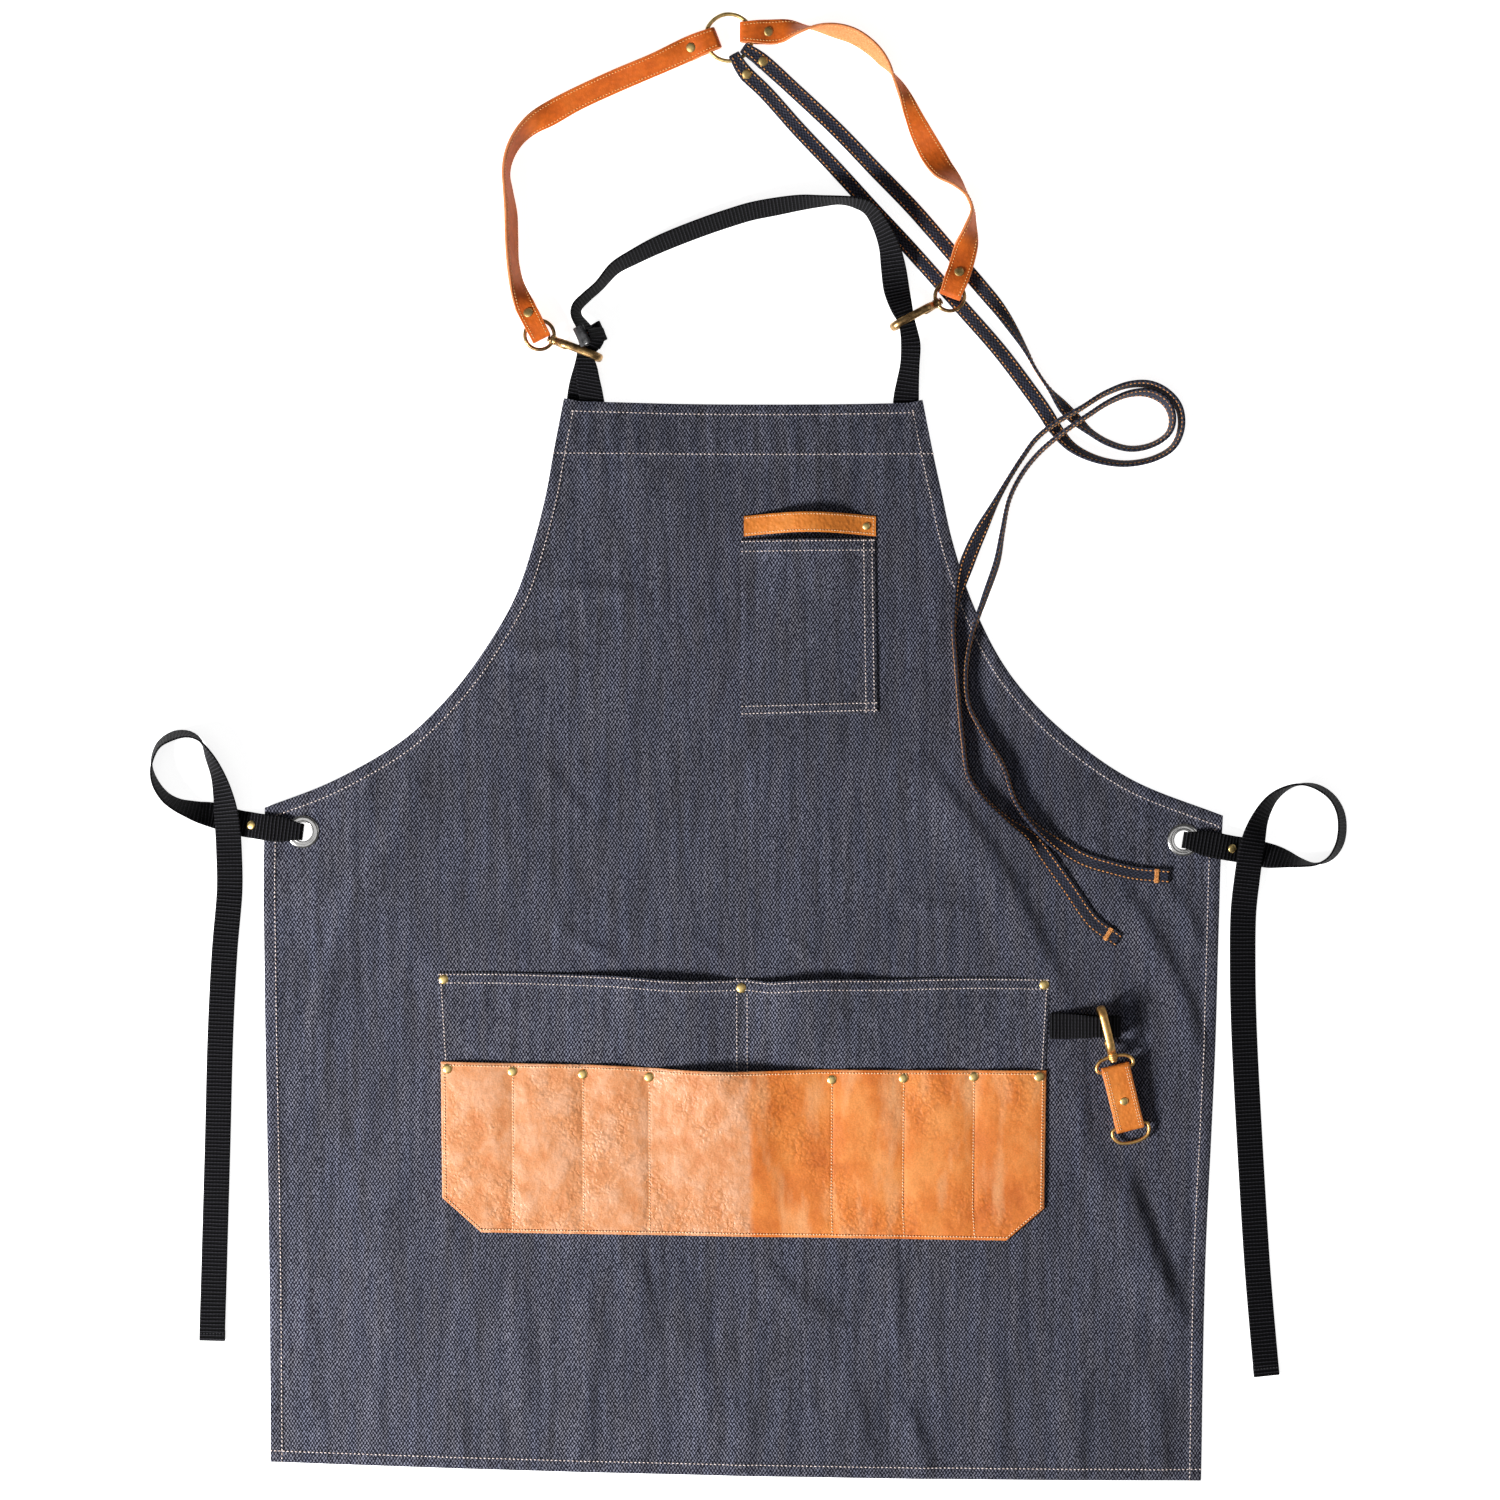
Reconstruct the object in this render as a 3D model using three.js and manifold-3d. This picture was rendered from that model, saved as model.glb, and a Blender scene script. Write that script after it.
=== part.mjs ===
// Barber apron with a crossed yoke, lying flat on its back with its front side up.
// Millimetres. +X is to the right of the apron as it lies, +Y runs from the hem to the bib, +Z is up.
import * as THREE from "three";
import { mergeVertices } from "three/addons/utils/BufferGeometryUtils.js";
import Module from "manifold-3d";

const wasm = await Module();
wasm.setup();

// Driving dimensions
const PLAY = 0.3;
const DENIM = 1.0;
const HEM = 2.0;
const HEM_WIDTH = 9;
const HEM_STEP = 1.5;
const POCKET_LEATHER = 1.6;
const STRAP_LEATHER = 2.0;
const STRAP_LEATHER_WIDTH = 18;
const STRAP_DENIM = 1.8;
const STRAP_DENIM_WIDTH = 11;
const WEBBING = 1.4;
const WEBBING_WIDTH = 19;
const BIB_TOP = 257;
const BIB_SAG = 2.5;
const FACING = 42;
const HEM_SAG = 3.5;
const LEFT_CORNER_LIFT = 3.6;
const RIGHT_CORNER_LIFT = 1.9;
const GROMMET_LIFT = 2.9;
const GROMMET_HOLE = 7;
const GROMMET_FLANGE = 12;
const PANEL_HOLE = 9.2;
const RIVET_STEM = 1.2;
const RIVET_SEAT = 0.4;
const STRAP_SEAT = 0.9;
const RING_RADIUS = 17.3;
const RING_WIRE = 1.5;
const RING_HEIGHT = 4.2;
const SWIVEL_RADIUS = 10.8;
const SWIVEL_WIRE = 1.4;
const HOOK_AXIS_HEIGHT = 8.9;
const HOOK_PLATE = 3.6;
const KEEPER_WIRE = 1.3;

// Where the apron's pieces are measured from, so that the whole footprint is centred on the origin
const LAY_SHIFT_X = -0.57;
const LAY_SHIFT_Y = -0.9;

const COLOURS = {
  denim: 0x4a4c58, leather: 0xd9823f, webbing: 0x1c1b1f, brass: 0xa98442, silver: 0xc9c6c4, plastic: 0x17171a,
};
const FINISH = {
  denim: [0.9, 0], leather: [0.5, 0], webbing: [0.75, 0], brass: [0.35, 1], silver: [0.25, 1], plastic: [0.3, 0],
};

// Small helpers
const UP = new THREE.Vector3(0, 0, 1);
const at = (x, y, z = 0) => new THREE.Vector3(x, y, z);
const mix = THREE.MathUtils.lerp;
const radians = THREE.MathUtils.degToRad;
const ease = (f) => THREE.MathUtils.smoothstep(f, 0, 1);
const fade = (distance, full, none) => 1 - THREE.MathUtils.smoothstep(distance, full, none);
const table = (columns, rows) => rows.map((row) => Object.fromEntries(columns.map((name, i) => [name, row[i]])));

const apron = new THREE.Group();

function add(name, finish, geometry, parent = apron) {
  const [roughness, metalness] = FINISH[finish];
  const material = new THREE.MeshStandardMaterial({ color: COLOURS[finish], roughness, metalness });
  const mesh = new THREE.Mesh(geometry, material);
  mesh.name = name;
  parent.add(mesh);
  return mesh;
}

function indexed(points, faces) {
  const geometry = new THREE.BufferGeometry();
  geometry.setAttribute("position", new THREE.Float32BufferAttribute(points.flatMap((p) => [p.x, p.y, p.z]), 3));
  geometry.setIndex(faces.flat());
  return geometry;
}

// A closed body with shared vertices and its faces pointing out
function closed(source) {
  const bare = source.clone();
  bare.deleteAttribute("normal");
  bare.deleteAttribute("uv");
  const merged = mergeVertices(bare, 1e-4);
  const position = merged.attributes.position;
  const index = merged.index.array;
  const corner = (i) => new THREE.Vector3().fromBufferAttribute(position, i);
  const faces = [];
  let volume = 0;
  for (let i = 0; i < index.length; i += 3) {
    const [a, b, c] = [index[i], index[i + 1], index[i + 2]];
    if (a === b || b === c || a === c) continue;
    faces.push([a, b, c]);
    volume += corner(a).dot(corner(b).cross(corner(c)));
  }
  const outward = volume > 0 ? faces : faces.map(([a, b, c]) => [a, c, b]);
  merged.setIndex(outward.flat());
  return merged;
}

function solid(geometry) {
  const body = closed(geometry);
  const vertProperties = new Float32Array(body.attributes.position.array);
  const triVerts = new Uint32Array(body.index.array);
  return new wasm.Manifold(new wasm.Mesh({ numProp: 3, vertProperties, triVerts }));
}

function shapeOf(manifold) {
  const mesh = manifold.getMesh();
  const geometry = new THREE.BufferGeometry();
  geometry.setAttribute("position", new THREE.Float32BufferAttribute(mesh.vertProperties, 3));
  geometry.setIndex(Array.from(mesh.triVerts));
  return geometry;
}

const cut = (geometry, tools) => shapeOf(tools.reduce((body, tool) => body.subtract(solid(tool)), solid(geometry)));
const join = (pieces) => shapeOf(pieces.map(solid).reduce((body, piece) => body.add(piece)));

function cylinderAlong(axis, radius, from, to, sides) {
  const geometry = new THREE.CylinderGeometry(radius, radius, to - from, sides);
  geometry.translate(0, (from + to) / 2, 0);
  geometry.applyQuaternion(new THREE.Quaternion().setFromUnitVectors(at(0, 1), axis));
  return geometry;
}

// A sheet with an underside surface and a thickness, on a grid of rows from top to bottom
function sheet(rowCount, columnCount, under, thickness) {
  const points = [];
  for (let i = 0; i < rowCount; i++) {
    for (let j = 0; j < columnCount; j++) points.push(under(i, j).add(at(0, 0, thickness(i, j))));
  }
  for (let i = 0; i < rowCount; i++) {
    for (let j = 0; j < columnCount; j++) points.push(under(i, j));
  }
  const top = (i, j) => i * columnCount + j;
  const back = rowCount * columnCount;
  const faces = [];
  for (let i = 0; i + 1 < rowCount; i++) {
    for (let j = 0; j + 1 < columnCount; j++) {
      const [a, b, c, d] = [top(i, j), top(i + 1, j), top(i + 1, j + 1), top(i, j + 1)];
      faces.push([a, b, c], [a, c, d]);
      faces.push([back + a, back + c, back + b], [back + a, back + d, back + c]);
    }
  }
  const rim = (a, b) => faces.push([b, a, back + a], [b, back + a, back + b]);
  for (let i = 0; i + 1 < rowCount; i++) {
    rim(top(i, 0), top(i + 1, 0));
    rim(top(i + 1, columnCount - 1), top(i, columnCount - 1));
  }
  for (let j = 0; j + 1 < columnCount; j++) {
    rim(top(rowCount - 1, j), top(rowCount - 1, j + 1));
    rim(top(0, j + 1), top(0, j));
  }
  return indexed(points, faces);
}

// Stations of a strap laid through a table: x, y in plan, roll in degrees with the left edge rising,
// base the height of what lies under it above the ground, and its width where it is gathered
function lay(rows, width, thickness, stepsPerSpan, ground = () => 0) {
  const plan = new THREE.CatmullRomCurve3(rows.map((row) => at(row.x, row.y)), false, "centripetal");
  const spans = rows.length - 1;
  const stations = [];
  for (let k = 0; k <= spans * stepsPerSpan; k++) {
    const whole = Math.min(Math.floor(k / stepsPerSpan), spans - 1);
    const share = ease(k / stepsPerSpan - whole);
    const [here, next] = [rows[whole], rows[whole + 1]];
    const wide = mix(here.width ?? width, next.width ?? width, share);
    const roll = radians(mix(here.roll, next.roll, share));
    const lean = (wide / 2) * Math.abs(Math.sin(roll)) + (thickness / 2) * Math.abs(Math.cos(roll));
    const point = plan.getPoint(k / (spans * stepsPerSpan));
    point.z = ground(point.x, point.y) + mix(here.base, next.base, share) + lean;
    stations.push({ point, roll, wide, heading: plan.getTangent(k / (spans * stepsPerSpan)) });
  }
  stations.forEach((station, k) => {
    const along = along3(stations, k);
    const level = new THREE.Vector3().crossVectors(UP, station.heading).normalize();
    station.side = level.applyAxisAngle(along, station.roll);
    station.along = along;
    station.normal = new THREE.Vector3().crossVectors(along, station.side).normalize();
  });
  return stations;
}

function along3(stations, k) {
  const before = stations[Math.max(k - 1, 0)].point;
  const after = stations[Math.min(k + 1, stations.length - 1)].point;
  return new THREE.Vector3().subVectors(after, before).normalize();
}

const turned = (stations) => stations.map((s) => ({
  ...s, side: s.side.clone().negate(), along: s.along.clone().negate(),
})).reverse();

// The last end of a strap folded back on itself round a wire: the layers stay apart by gap for hold,
// then close to a small gap at pinch. way is -1 for a tail under the strap, 1 for one over it
function foldEnd(stations, thickness, { gap, hold, pinch, tail, way = -1 }) {
  const end = stations.at(-1);
  const reach = (gap + thickness) / 2;
  const folded = [...stations];
  const arcSteps = 6;
  for (let k = 1; k < arcSteps; k++) {
    const angle = (Math.PI * k) / arcSteps;
    const point = end.point.clone().addScaledVector(end.normal, way * reach * (1 - Math.cos(angle)));
    point.addScaledVector(end.along, reach * Math.sin(angle));
    folded.push({ ...end, point });
  }
  const back = turned(stations);
  const stops = [0, hold / 2, hold, (hold + pinch) / 2, pinch, tail, ...distances(back)];
  for (const travelled of stops.filter((stop) => stop <= tail).sort((a, b) => a - b)) {
    const here = stationAt(back, travelled);
    const offset = mix(thickness + PLAY, gap + thickness, fade(travelled, hold, pinch));
    const point = here.point.clone().addScaledVector(here.normal, way * offset);
    folded.push({ ...here, side: here.side.clone().negate(), point });
  }
  return folded;
}

const foldStart = (stations, thickness, fold) => turned(foldEnd(turned(stations), thickness, fold));

// The strap's body: a flat section swept through its stations. Its two flat sides are split along
// the same diagonals, so that they stay parallel where it twists
function strap(stations, thickness) {
  const points = [];
  stations.forEach((station, k) => {
    const along = along3(stations, k);
    const normal = new THREE.Vector3().crossVectors(along, station.side).normalize();
    for (const [across, up] of [[1, 1], [-1, 1], [-1, -1], [1, -1]]) {
      const corner = station.point.clone().addScaledVector(station.side, (across * station.wide) / 2);
      points.push(corner.addScaledVector(normal, (up * thickness) / 2));
    }
  });
  const faces = [];
  for (let k = 0; k + 1 < stations.length; k++) {
    for (let e = 0; e < 4; e++) {
      const [a, b] = [4 * k + e, 4 * k + ((e + 1) % 4)];
      if (e === 2) faces.push([a, b, a + 4], [b, b + 4, a + 4]);
      else faces.push([a, b, b + 4], [a, b + 4, a + 4]);
    }
  }
  const last = 4 * (stations.length - 1);
  faces.push([0, 3, 2], [0, 2, 1], [last, last + 1, last + 2], [last, last + 2, last + 3]);
  return indexed(points, faces);
}

// How far along a strap each of its stations lies
function distances(stations) {
  let travelled = 0;
  return stations.map((station, k) => {
    if (k > 0) travelled += station.point.distanceTo(stations[k - 1].point);
    return travelled;
  });
}

// The station a given way along from a strap's first station
function stationAt(stations, distance) {
  let travelled = 0;
  for (let k = 1; k < stations.length; k++) {
    const step = stations[k].point.distanceTo(stations[k - 1].point);
    if (travelled + step >= distance) {
      const share = (distance - travelled) / step;
      const between = (name) => stations[k - 1][name].clone().lerp(stations[k][name], share);
      return {
        point: between("point"), side: between("side").normalize(), along: between("along").normalize(),
        normal: between("normal").normalize(), wide: mix(stations[k - 1].wide, stations[k].wide, share),
      };
    }
    travelled += step;
  }
  return stations.at(-1);
}

// A domed rivet: its cap sits on top of the layers and its stem passes down through them
function rivet(name, finish, seat, normal, capRadius, stemLength) {
  const capHeight = capRadius * 0.45;
  const profile = [
    [0, capHeight], [capRadius * 0.7, capHeight * 0.75], [capRadius, 0],
    [RIVET_STEM, 0], [RIVET_STEM, -stemLength], [0, -stemLength],
  ].map(([r, z]) => new THREE.Vector2(r, z));
  const geometry = new THREE.LatheGeometry(profile, 6);
  const mesh = add(name, finish, closed(geometry));
  mesh.position.copy(seat);
  mesh.quaternion.setFromUnitVectors(at(0, 1), normal);
  return mesh;
}

function rivetHole(seat, normal, length) {
  const hole = cylinderAlong(normal, RIVET_STEM + PLAY, -length - 1, 1, 6);
  hole.translate(seat.x, seat.y, seat.z);
  return hole;
}

// Denim panel. Its edge is a table from the bib's top, down the armholes to the waist corners,
// and down the sides to the hem
const ARMHOLE = table(["leftX", "leftY", "rightX", "rightY"], [
  [-136, 257, 129, 255],
  [-144, 217, 137, 217],
  [-149, 190, 143, 190],
  [-158, 154, 151, 154],
  [-173, 110, 165, 110],
  [-200, 65, 187, 65],
  [-223, 36, 209, 36],
  [-255, 6, 241, 6],
  [-306, -24, 285, -24],
  [-357, -44, 351, -50],
]);
const SKIRT = table(["leftX", "leftY", "rightX", "rightY"], [
  [-357, -44, 351, -50],
  [-358, -90, 349, -93],
  [-357, -209, 346, -212],
  [-354, -386, 338, -390],
  [-353, -519, 335.3, -533],
  [-353, -528, 335, -542],
]);
const GROMMETS = table(["name", "x", "y"], [["left", -329, -62], ["right", 322, -68]]);

// Soft folds of the panel: the middle, the way it runs, its half length, half width and height
const FOLDS = table(["x", "y", "turn", "halfLength", "halfWidth", "height"], [
  [-255, -95, 50, 75, 34, 3.5],
  [-300, -290, 88, 150, 30, 3],
  [-120, -455, 84, 62, 32, 3],
  [95, -450, 95, 70, 34, 3.5],
  [300, -365, 110, 95, 26, 3],
  [-60, -90, 12, 95, 30, 3],
  [95, -95, 170, 60, 26, 2.5],
]);

function foldHeight(fold, x, y) {
  const turn = radians(fold.turn);
  const along = (x - fold.x) * Math.cos(turn) + (y - fold.y) * Math.sin(turn);
  const across = (y - fold.y) * Math.cos(turn) - (x - fold.x) * Math.sin(turn);
  const length = fade(Math.abs(along), 0, fold.halfLength);
  return fold.height * length * fade(Math.abs(across), 0, fold.halfWidth);
}

// The panel's underside: raised over the strap ends behind the bib's corners, over the grommets and in folds
function panelLift(x, y) {
  const leftCorner = LEFT_CORNER_LIFT * fade(x, -102, -45);
  const rightCorner = RIGHT_CORNER_LIFT * fade(-x, -103, -55);
  const bib = (leftCorner + rightCorner) * fade(BIB_TOP - y, FACING, FACING + 34);
  const eyelets = GROMMETS.map((g) => GROMMET_LIFT * fade(Math.hypot(x - g.x, y - g.y), 45, 110));
  const folds = FOLDS.map((fold) => foldHeight(fold, x, y));
  return Math.max(bib, ...eyelets) + folds.reduce((sum, height) => sum + height);
}

const edgeCurve = (rows, x, y) => new THREE.CatmullRomCurve3(rows.map((row) => at(row[x], row[y])));

function edgeRows(rows, steps) {
  const left = edgeCurve(rows, "leftX", "leftY");
  const right = edgeCurve(rows, "rightX", "rightY");
  const spans = rows.length - 1;
  return steps.map((step) => ({
    left: left.getPoint(step / spans), right: right.getPoint(step / spans),
    leftIn: at(0, 0, 1).cross(left.getTangent(step / spans)),
    rightIn: right.getTangent(step / spans).cross(at(0, 0, 1)),
  }));
}

const spaced = (from, to, count) => Array.from({ length: count + 1 }, (_, k) => mix(from, to, k / count));
const FACING_STEP = 1.08;
const panelRows = [
  ...edgeRows(ARMHOLE, [0, 1, FACING_STEP, ...spaced(1.7, 9, 12)]),
  ...edgeRows(SKIRT, [0.6, ...spaced(1, 3, 4), 3.3, 3.65, 4 - HEM_STEP / 133, 4, 5]),
];
const FACING_ROW = 1;
const panelColumns = 17;

function panelPoint(i, j) {
  const row = panelRows[i];
  const lastColumn = panelColumns - 1;
  const inset = (column) => [0, HEM_WIDTH, HEM_WIDTH + HEM_STEP][column];
  const innerLeft = row.left.clone().addScaledVector(row.leftIn, inset(2));
  const innerRight = row.right.clone().addScaledVector(row.rightIn, inset(2));
  let point = innerLeft.clone().lerp(innerRight, (j - 2) / (lastColumn - 4));
  if (j < 2) point = row.left.clone().addScaledVector(row.leftIn, inset(j));
  if (j > lastColumn - 2) point = row.right.clone().addScaledVector(row.rightIn, inset(lastColumn - j));
  const share = (point.x - row.left.x) / (row.right.x - row.left.x);
  const bow = 4 * share * (1 - share);
  point.y -= BIB_SAG * bow * fade(i, 0, 4) + HEM_SAG * bow * fade(panelRows.length - 1 - i, 0, 6);
  point.z = panelLift(point.x, point.y);
  return point;
}

function panelThickness(i, j) {
  const hemmedSide = Math.min(j, panelColumns - 1 - j) <= 1;
  const hemmedEnd = i <= FACING_ROW || i >= panelRows.length - 2;
  return hemmedSide || hemmedEnd ? HEM : DENIM;
}

// Patch pockets: tables of their side edges from the mouth down, and how far the mouth gapes
const CHEST = table(["leftX", "leftY", "rightX", "rightY"], [
  [-5, 154, 94, 155], [-5, 90, 95, 91], [-5, 23, 96, 26],
]);
const LOWER = table(["leftX", "leftY", "rightX", "rightY"], [
  [-230, -166, 224, -170],
  [-226, -231, 220, -238],
  [-226, -331, 219, -340],
  [-197, -357, 191, -363],
]);
const LEATHER = table(["leftX", "leftY", "rightX", "rightY"], [
  [-227, -231, 220.5, -238],
  [-226, -332, 219, -340],
  [-197, -358, 191, -364],
]);
const CHEST_GAPE = 11;
const LOWER_GAPE = 10;
const MIDDLE_GAPE = 9;
const SMALL_GAPE = 1.2;
const DIVIDERS = [-229, -174, -122, -73, 62, 115, 167, 222];
const POCKET_DIVIDER = -5;
const CHEST_DEPTH = 130;
const LOWER_DEPTH = 115;
const LEATHER_DEPTH = 125;
const MOUTH_SAG = 5;

const arch = (share) => Math.sin(Math.PI * THREE.MathUtils.clamp(share, 0, 1)) ** 1.6;
const decay = (depth, reach) => Math.max(0, 1 - Math.max(depth, 0) / reach) ** 1.5;

const chestUnder = (x, y) => panelLift(x, y) + DENIM + PLAY
  + CHEST_GAPE * arch((x + 5) / 100) * decay(154.5 - y, CHEST_DEPTH);

function lowerUnder(x, y) {
  const half = x < POCKET_DIVIDER ? (x + 230) / (POCKET_DIVIDER + 230) : (x - POCKET_DIVIDER) / (224 - POCKET_DIVIDER);
  return DENIM + PLAY + LOWER_GAPE * arch(half) * decay(-171 - y, LOWER_DEPTH);
}

const lowerTop = (x, y) => lowerUnder(x, y) + DENIM;

function leatherUnder(x, y) {
  const k = Math.min(Math.max(DIVIDERS.findIndex((edge) => edge > x), 1), DIVIDERS.length - 1);
  const share = (x - DIVIDERS[k - 1]) / (DIVIDERS[k] - DIVIDERS[k - 1]);
  const gape = k === 4 ? MIDDLE_GAPE : SMALL_GAPE;
  return lowerTop(x, y) + 2 * PLAY + gape * arch(share) * decay(-237 - y, LEATHER_DEPTH);
}

function pocket(rows, steps, columns, under, thickness, sag) {
  const edges = edgeRows(rows, steps);
  const place = (i, j) => {
    const share = columns[j];
    const point = edges[i].left.clone().lerp(edges[i].right, share);
    point.y -= sag * 4 * share * (1 - share) * fade(i, 0, edges.length);
    point.z = under(point.x, point.y);
    return point;
  };
  return sheet(edges.length, columns.length, place, (i) => (i < 2 ? thickness.mouth : thickness.wall));
}

const shareOf = (x, rows) => (x - rows[0].leftX) / (rows[0].rightX - rows[0].leftX);
const leatherColumns = [...new Set([
  0, 1, ...DIVIDERS.slice(1, -1).map((x) => shareOf(x, LEATHER)),
  ...DIVIDERS.slice(1).map((x, k) => shareOf((x + DIVIDERS[k]) / 2, LEATHER)),
  ...spaced(-73, 62, 8).map((x) => shareOf(x, LEATHER)),
])].sort((a, b) => a - b);

const POCKET_RIVETS = table(["name", "x", "y"], [["left", -225, -171], ["middle", -5, -177.5], ["right", 219, -175]]);
const LEATHER_RIVETS = table(["x", "y"], [
  [-222, -237], [-174, -239], [-122, -241], [-73, -243], [62, -245], [115, -244], [167, -243], [215, -243],
]);
const BAND_RIVET = at(87.5, 164);
const BAND_LEFT = -3;
const BAND_RIGHT = 94.5;
const BAND_HALF = 7.5;
const BAND_ARCH = 10;
const BAND_BOW = 3;

const bandArch = (share) => Math.sin(Math.PI * share) ** 2;
const bandUnder = (share) => DENIM + PLAY + BAND_ARCH * bandArch(share);
const bandShare = (x) => (x - BAND_LEFT) / (BAND_RIGHT - BAND_LEFT);

const CAP = 3.8;
const SMALL_CAP = 3;

// Where a cap of this radius rests on a surface that isn't level
function seatOn(surface, x, y, cap) {
  const around = spaced(0, 2 * Math.PI, 8).map((turn) => surface(x + cap * Math.cos(turn), y + cap * Math.sin(turn)));
  return at(x, y, Math.max(surface(x, y), ...around));
}

const panelRivets = [
  ...POCKET_RIVETS.map((r) => seatOn((x, y) => lowerUnder(x, y) + HEM, r.x, r.y, CAP)),
  seatOn((x) => bandUnder(bandShare(x)) + POCKET_LEATHER, BAND_RIVET.x, BAND_RIVET.y, SMALL_CAP),
];
const grommetCut = GROMMETS.map((g) => {
  const hole = cylinderAlong(UP, PANEL_HOLE, -1, 9, 16);
  hole.translate(g.x, g.y, 0);
  return hole;
});
const panelHoles = panelRivets.map((seat) => rivetHole(seat, UP, 14));

const panelBody = sheet(panelRows.length, panelColumns, panelPoint, panelThickness);
add("apron_panel", "denim", cut(panelBody, [...grommetCut, ...panelHoles]));

const chestWalls = { mouth: 1.8, wall: DENIM };
const chestSteps = [0, 0.12, 0.35, 0.7, 1, 1.5, 2];
add("chest_pocket", "denim", pocket(CHEST, chestSteps, spaced(0, 1, 10), chestUnder, chestWalls, 0));

const lowerWalls = { mouth: HEM, wall: DENIM };
const lowerSteps = [0, 0.14, 0.16, 0.5, 1, 1.5, 2, 3];
const lowerColumns = [
  ...spaced(0, shareOf(POCKET_DIVIDER, LOWER), 9).slice(0, -1), ...spaced(shareOf(POCKET_DIVIDER, LOWER), 1, 9),
];
const leatherTop = (x, y) => leatherUnder(x, y) + POCKET_LEATHER;
const leatherSeats = LEATHER_RIVETS.map((r) => seatOn(leatherTop, r.x, r.y, CAP));
const lowerHoles = [...panelRivets.slice(0, 3), ...leatherSeats].map((seat) => rivetHole(seat, UP, 14));
const lowerBody = pocket(LOWER, lowerSteps, lowerColumns, lowerUnder, lowerWalls, MOUTH_SAG);
add("lower_pocket", "denim", cut(lowerBody, lowerHoles));

const leatherWalls = { mouth: POCKET_LEATHER, wall: POCKET_LEATHER };
const leatherBody = pocket(LEATHER, [0, 0.25, 0.6, 1, 2], leatherColumns, leatherUnder, leatherWalls, MOUTH_SAG);
add("leather_pocket", "leather", cut(leatherBody, leatherSeats.map((seat) => rivetHole(seat, UP, 14))));

const bandColumns = spaced(0, 1, 14);
const bandBody = sheet(2, bandColumns.length, (i, j) => {
  const share = bandColumns[j];
  const bow = BAND_BOW * Math.sin(Math.PI * share);
  return at(mix(BAND_LEFT, BAND_RIGHT, share), 164 + bow + (i ? -BAND_HALF : BAND_HALF), bandUnder(share));
}, () => POCKET_LEATHER);
add("pen_band", "leather", cut(bandBody, [rivetHole(panelRivets[3], UP, 14)]));

const raised = (seat) => seat.clone().setZ(seat.z + RIVET_SEAT);
POCKET_RIVETS.forEach((r, k) => {
  const seat = raised(panelRivets[k]);
  rivet(`pocket_rivet_${r.name}`, "brass", seat, UP, CAP, seat.z - 0.2);
});
leatherSeats.forEach((seat, k) => rivet(`leather_rivet_${k + 1}`, "brass", raised(seat), UP, CAP, 3.6));
rivet("band_rivet", "brass", raised(panelRivets[3]), UP, SMALL_CAP, panelRivets[3].z);

// Silver grommets: a barrel with a flange over and under the panel
function grommet(name, x, y) {
  const under = WEBBING + PLAY;
  const panel = GROMMET_LIFT + DENIM;
  const profile = [
    [GROMMET_HOLE, under], [GROMMET_FLANGE, under], [GROMMET_FLANGE, under + 0.9], [PANEL_HOLE - PLAY, under + 0.9],
    [PANEL_HOLE - PLAY, panel + PLAY], [GROMMET_FLANGE, panel + PLAY], [GROMMET_FLANGE - 1, panel + 1.1],
    [GROMMET_HOLE + 1, panel + 1.3], [GROMMET_HOLE, panel + 0.8], [GROMMET_HOLE, under],
  ].map(([r, z]) => new THREE.Vector2(r, z));
  const geometry = new THREE.LatheGeometry(profile, 14);
  geometry.rotateX(Math.PI / 2);
  add(name, "silver", closed(geometry)).position.set(x, y, 0);
}
GROMMETS.forEach((g) => grommet(`${g.name}_grommet`, g.x, g.y));

// Waist ties: webbing through the grommet and back under the panel, riveted beside the panel's edge,
// looped once and laid straight down
const STRAP_COLUMNS = ["x", "y", "roll", "base", "width"];
const LEFT_TIE = table(STRAP_COLUMNS, [
  [-332, -61.7, 0, 5.8, 12.4], [-345, -60, 0, 5.8], [-359.5, -58.2, 0, 5.8], [-367, -57, 0, 3.1],
  [-378, -55, 0, 1], [-394, -50, 14, 0], [-405, -47.5, 38, 0], [-413, -45, 52, 0], [-421, -42, 64, 0],
  [-430, -36, 74, 0], [-437.5, -25, 84, 0], [-440, -12, 98, 0], [-435, 2, 106, 0], [-424, 9, 110, 0],
  [-413, 10, 102, 0], [-405, 6, 90, 0.5], [-398, -5, 68, 2], [-391, -20, 52, 3.5], [-387, -35, 34, 5],
  [-385, -53, 12, 6.5], [-384.5, -75, 0, 4], [-385, -105, 0, 0], [-389, -150, 0, 0], [-392, -209, 0, 0],
  [-394, -297, 0, 0], [-396.5, -386, 0, 0], [-397.5, -428, 0, 2], [-397.7, -437, 0, 2],
]);
const RIGHT_TIE = table(STRAP_COLUMNS, [
  [324.7, -68.3, 0, 5.8, 12.4], [338, -70.5, 0, 5.8], [352.5, -73.3, 0, 5.8], [360, -74.7, 0, 3.1],
  [370, -76.2, 0, 1], [382, -79, -12, 0], [397, -82, -48, 0], [408, -84.5, -72, 0], [419, -85.5, -90, 0],
  [429, -81.5, -104, 0], [436, -72, -113, 0], [438.5, -60, -115, 0], [437, -47, -113, 0], [430.5, -36, -108, 0],
  [420, -29, -102, 0], [408, -27, -90, 0.5], [397, -30, -78, 2], [386, -38, -62, 3.5], [377, -53, -42, 5],
  [372, -72, -14, 6.5], [369, -95, 0, 3.5], [366.5, -122, 0, 0], [366, -165, 0, 0], [367, -209, 0, 0],
  [371.5, -297, 0, 0], [377, -386, 0, 0], [382.5, -453, 0, 2], [383.5, -463, 0, 2],
]);
const TIE_FOLD = { gap: 4.2, hold: 27, pinch: 33, tail: 43 };
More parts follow.
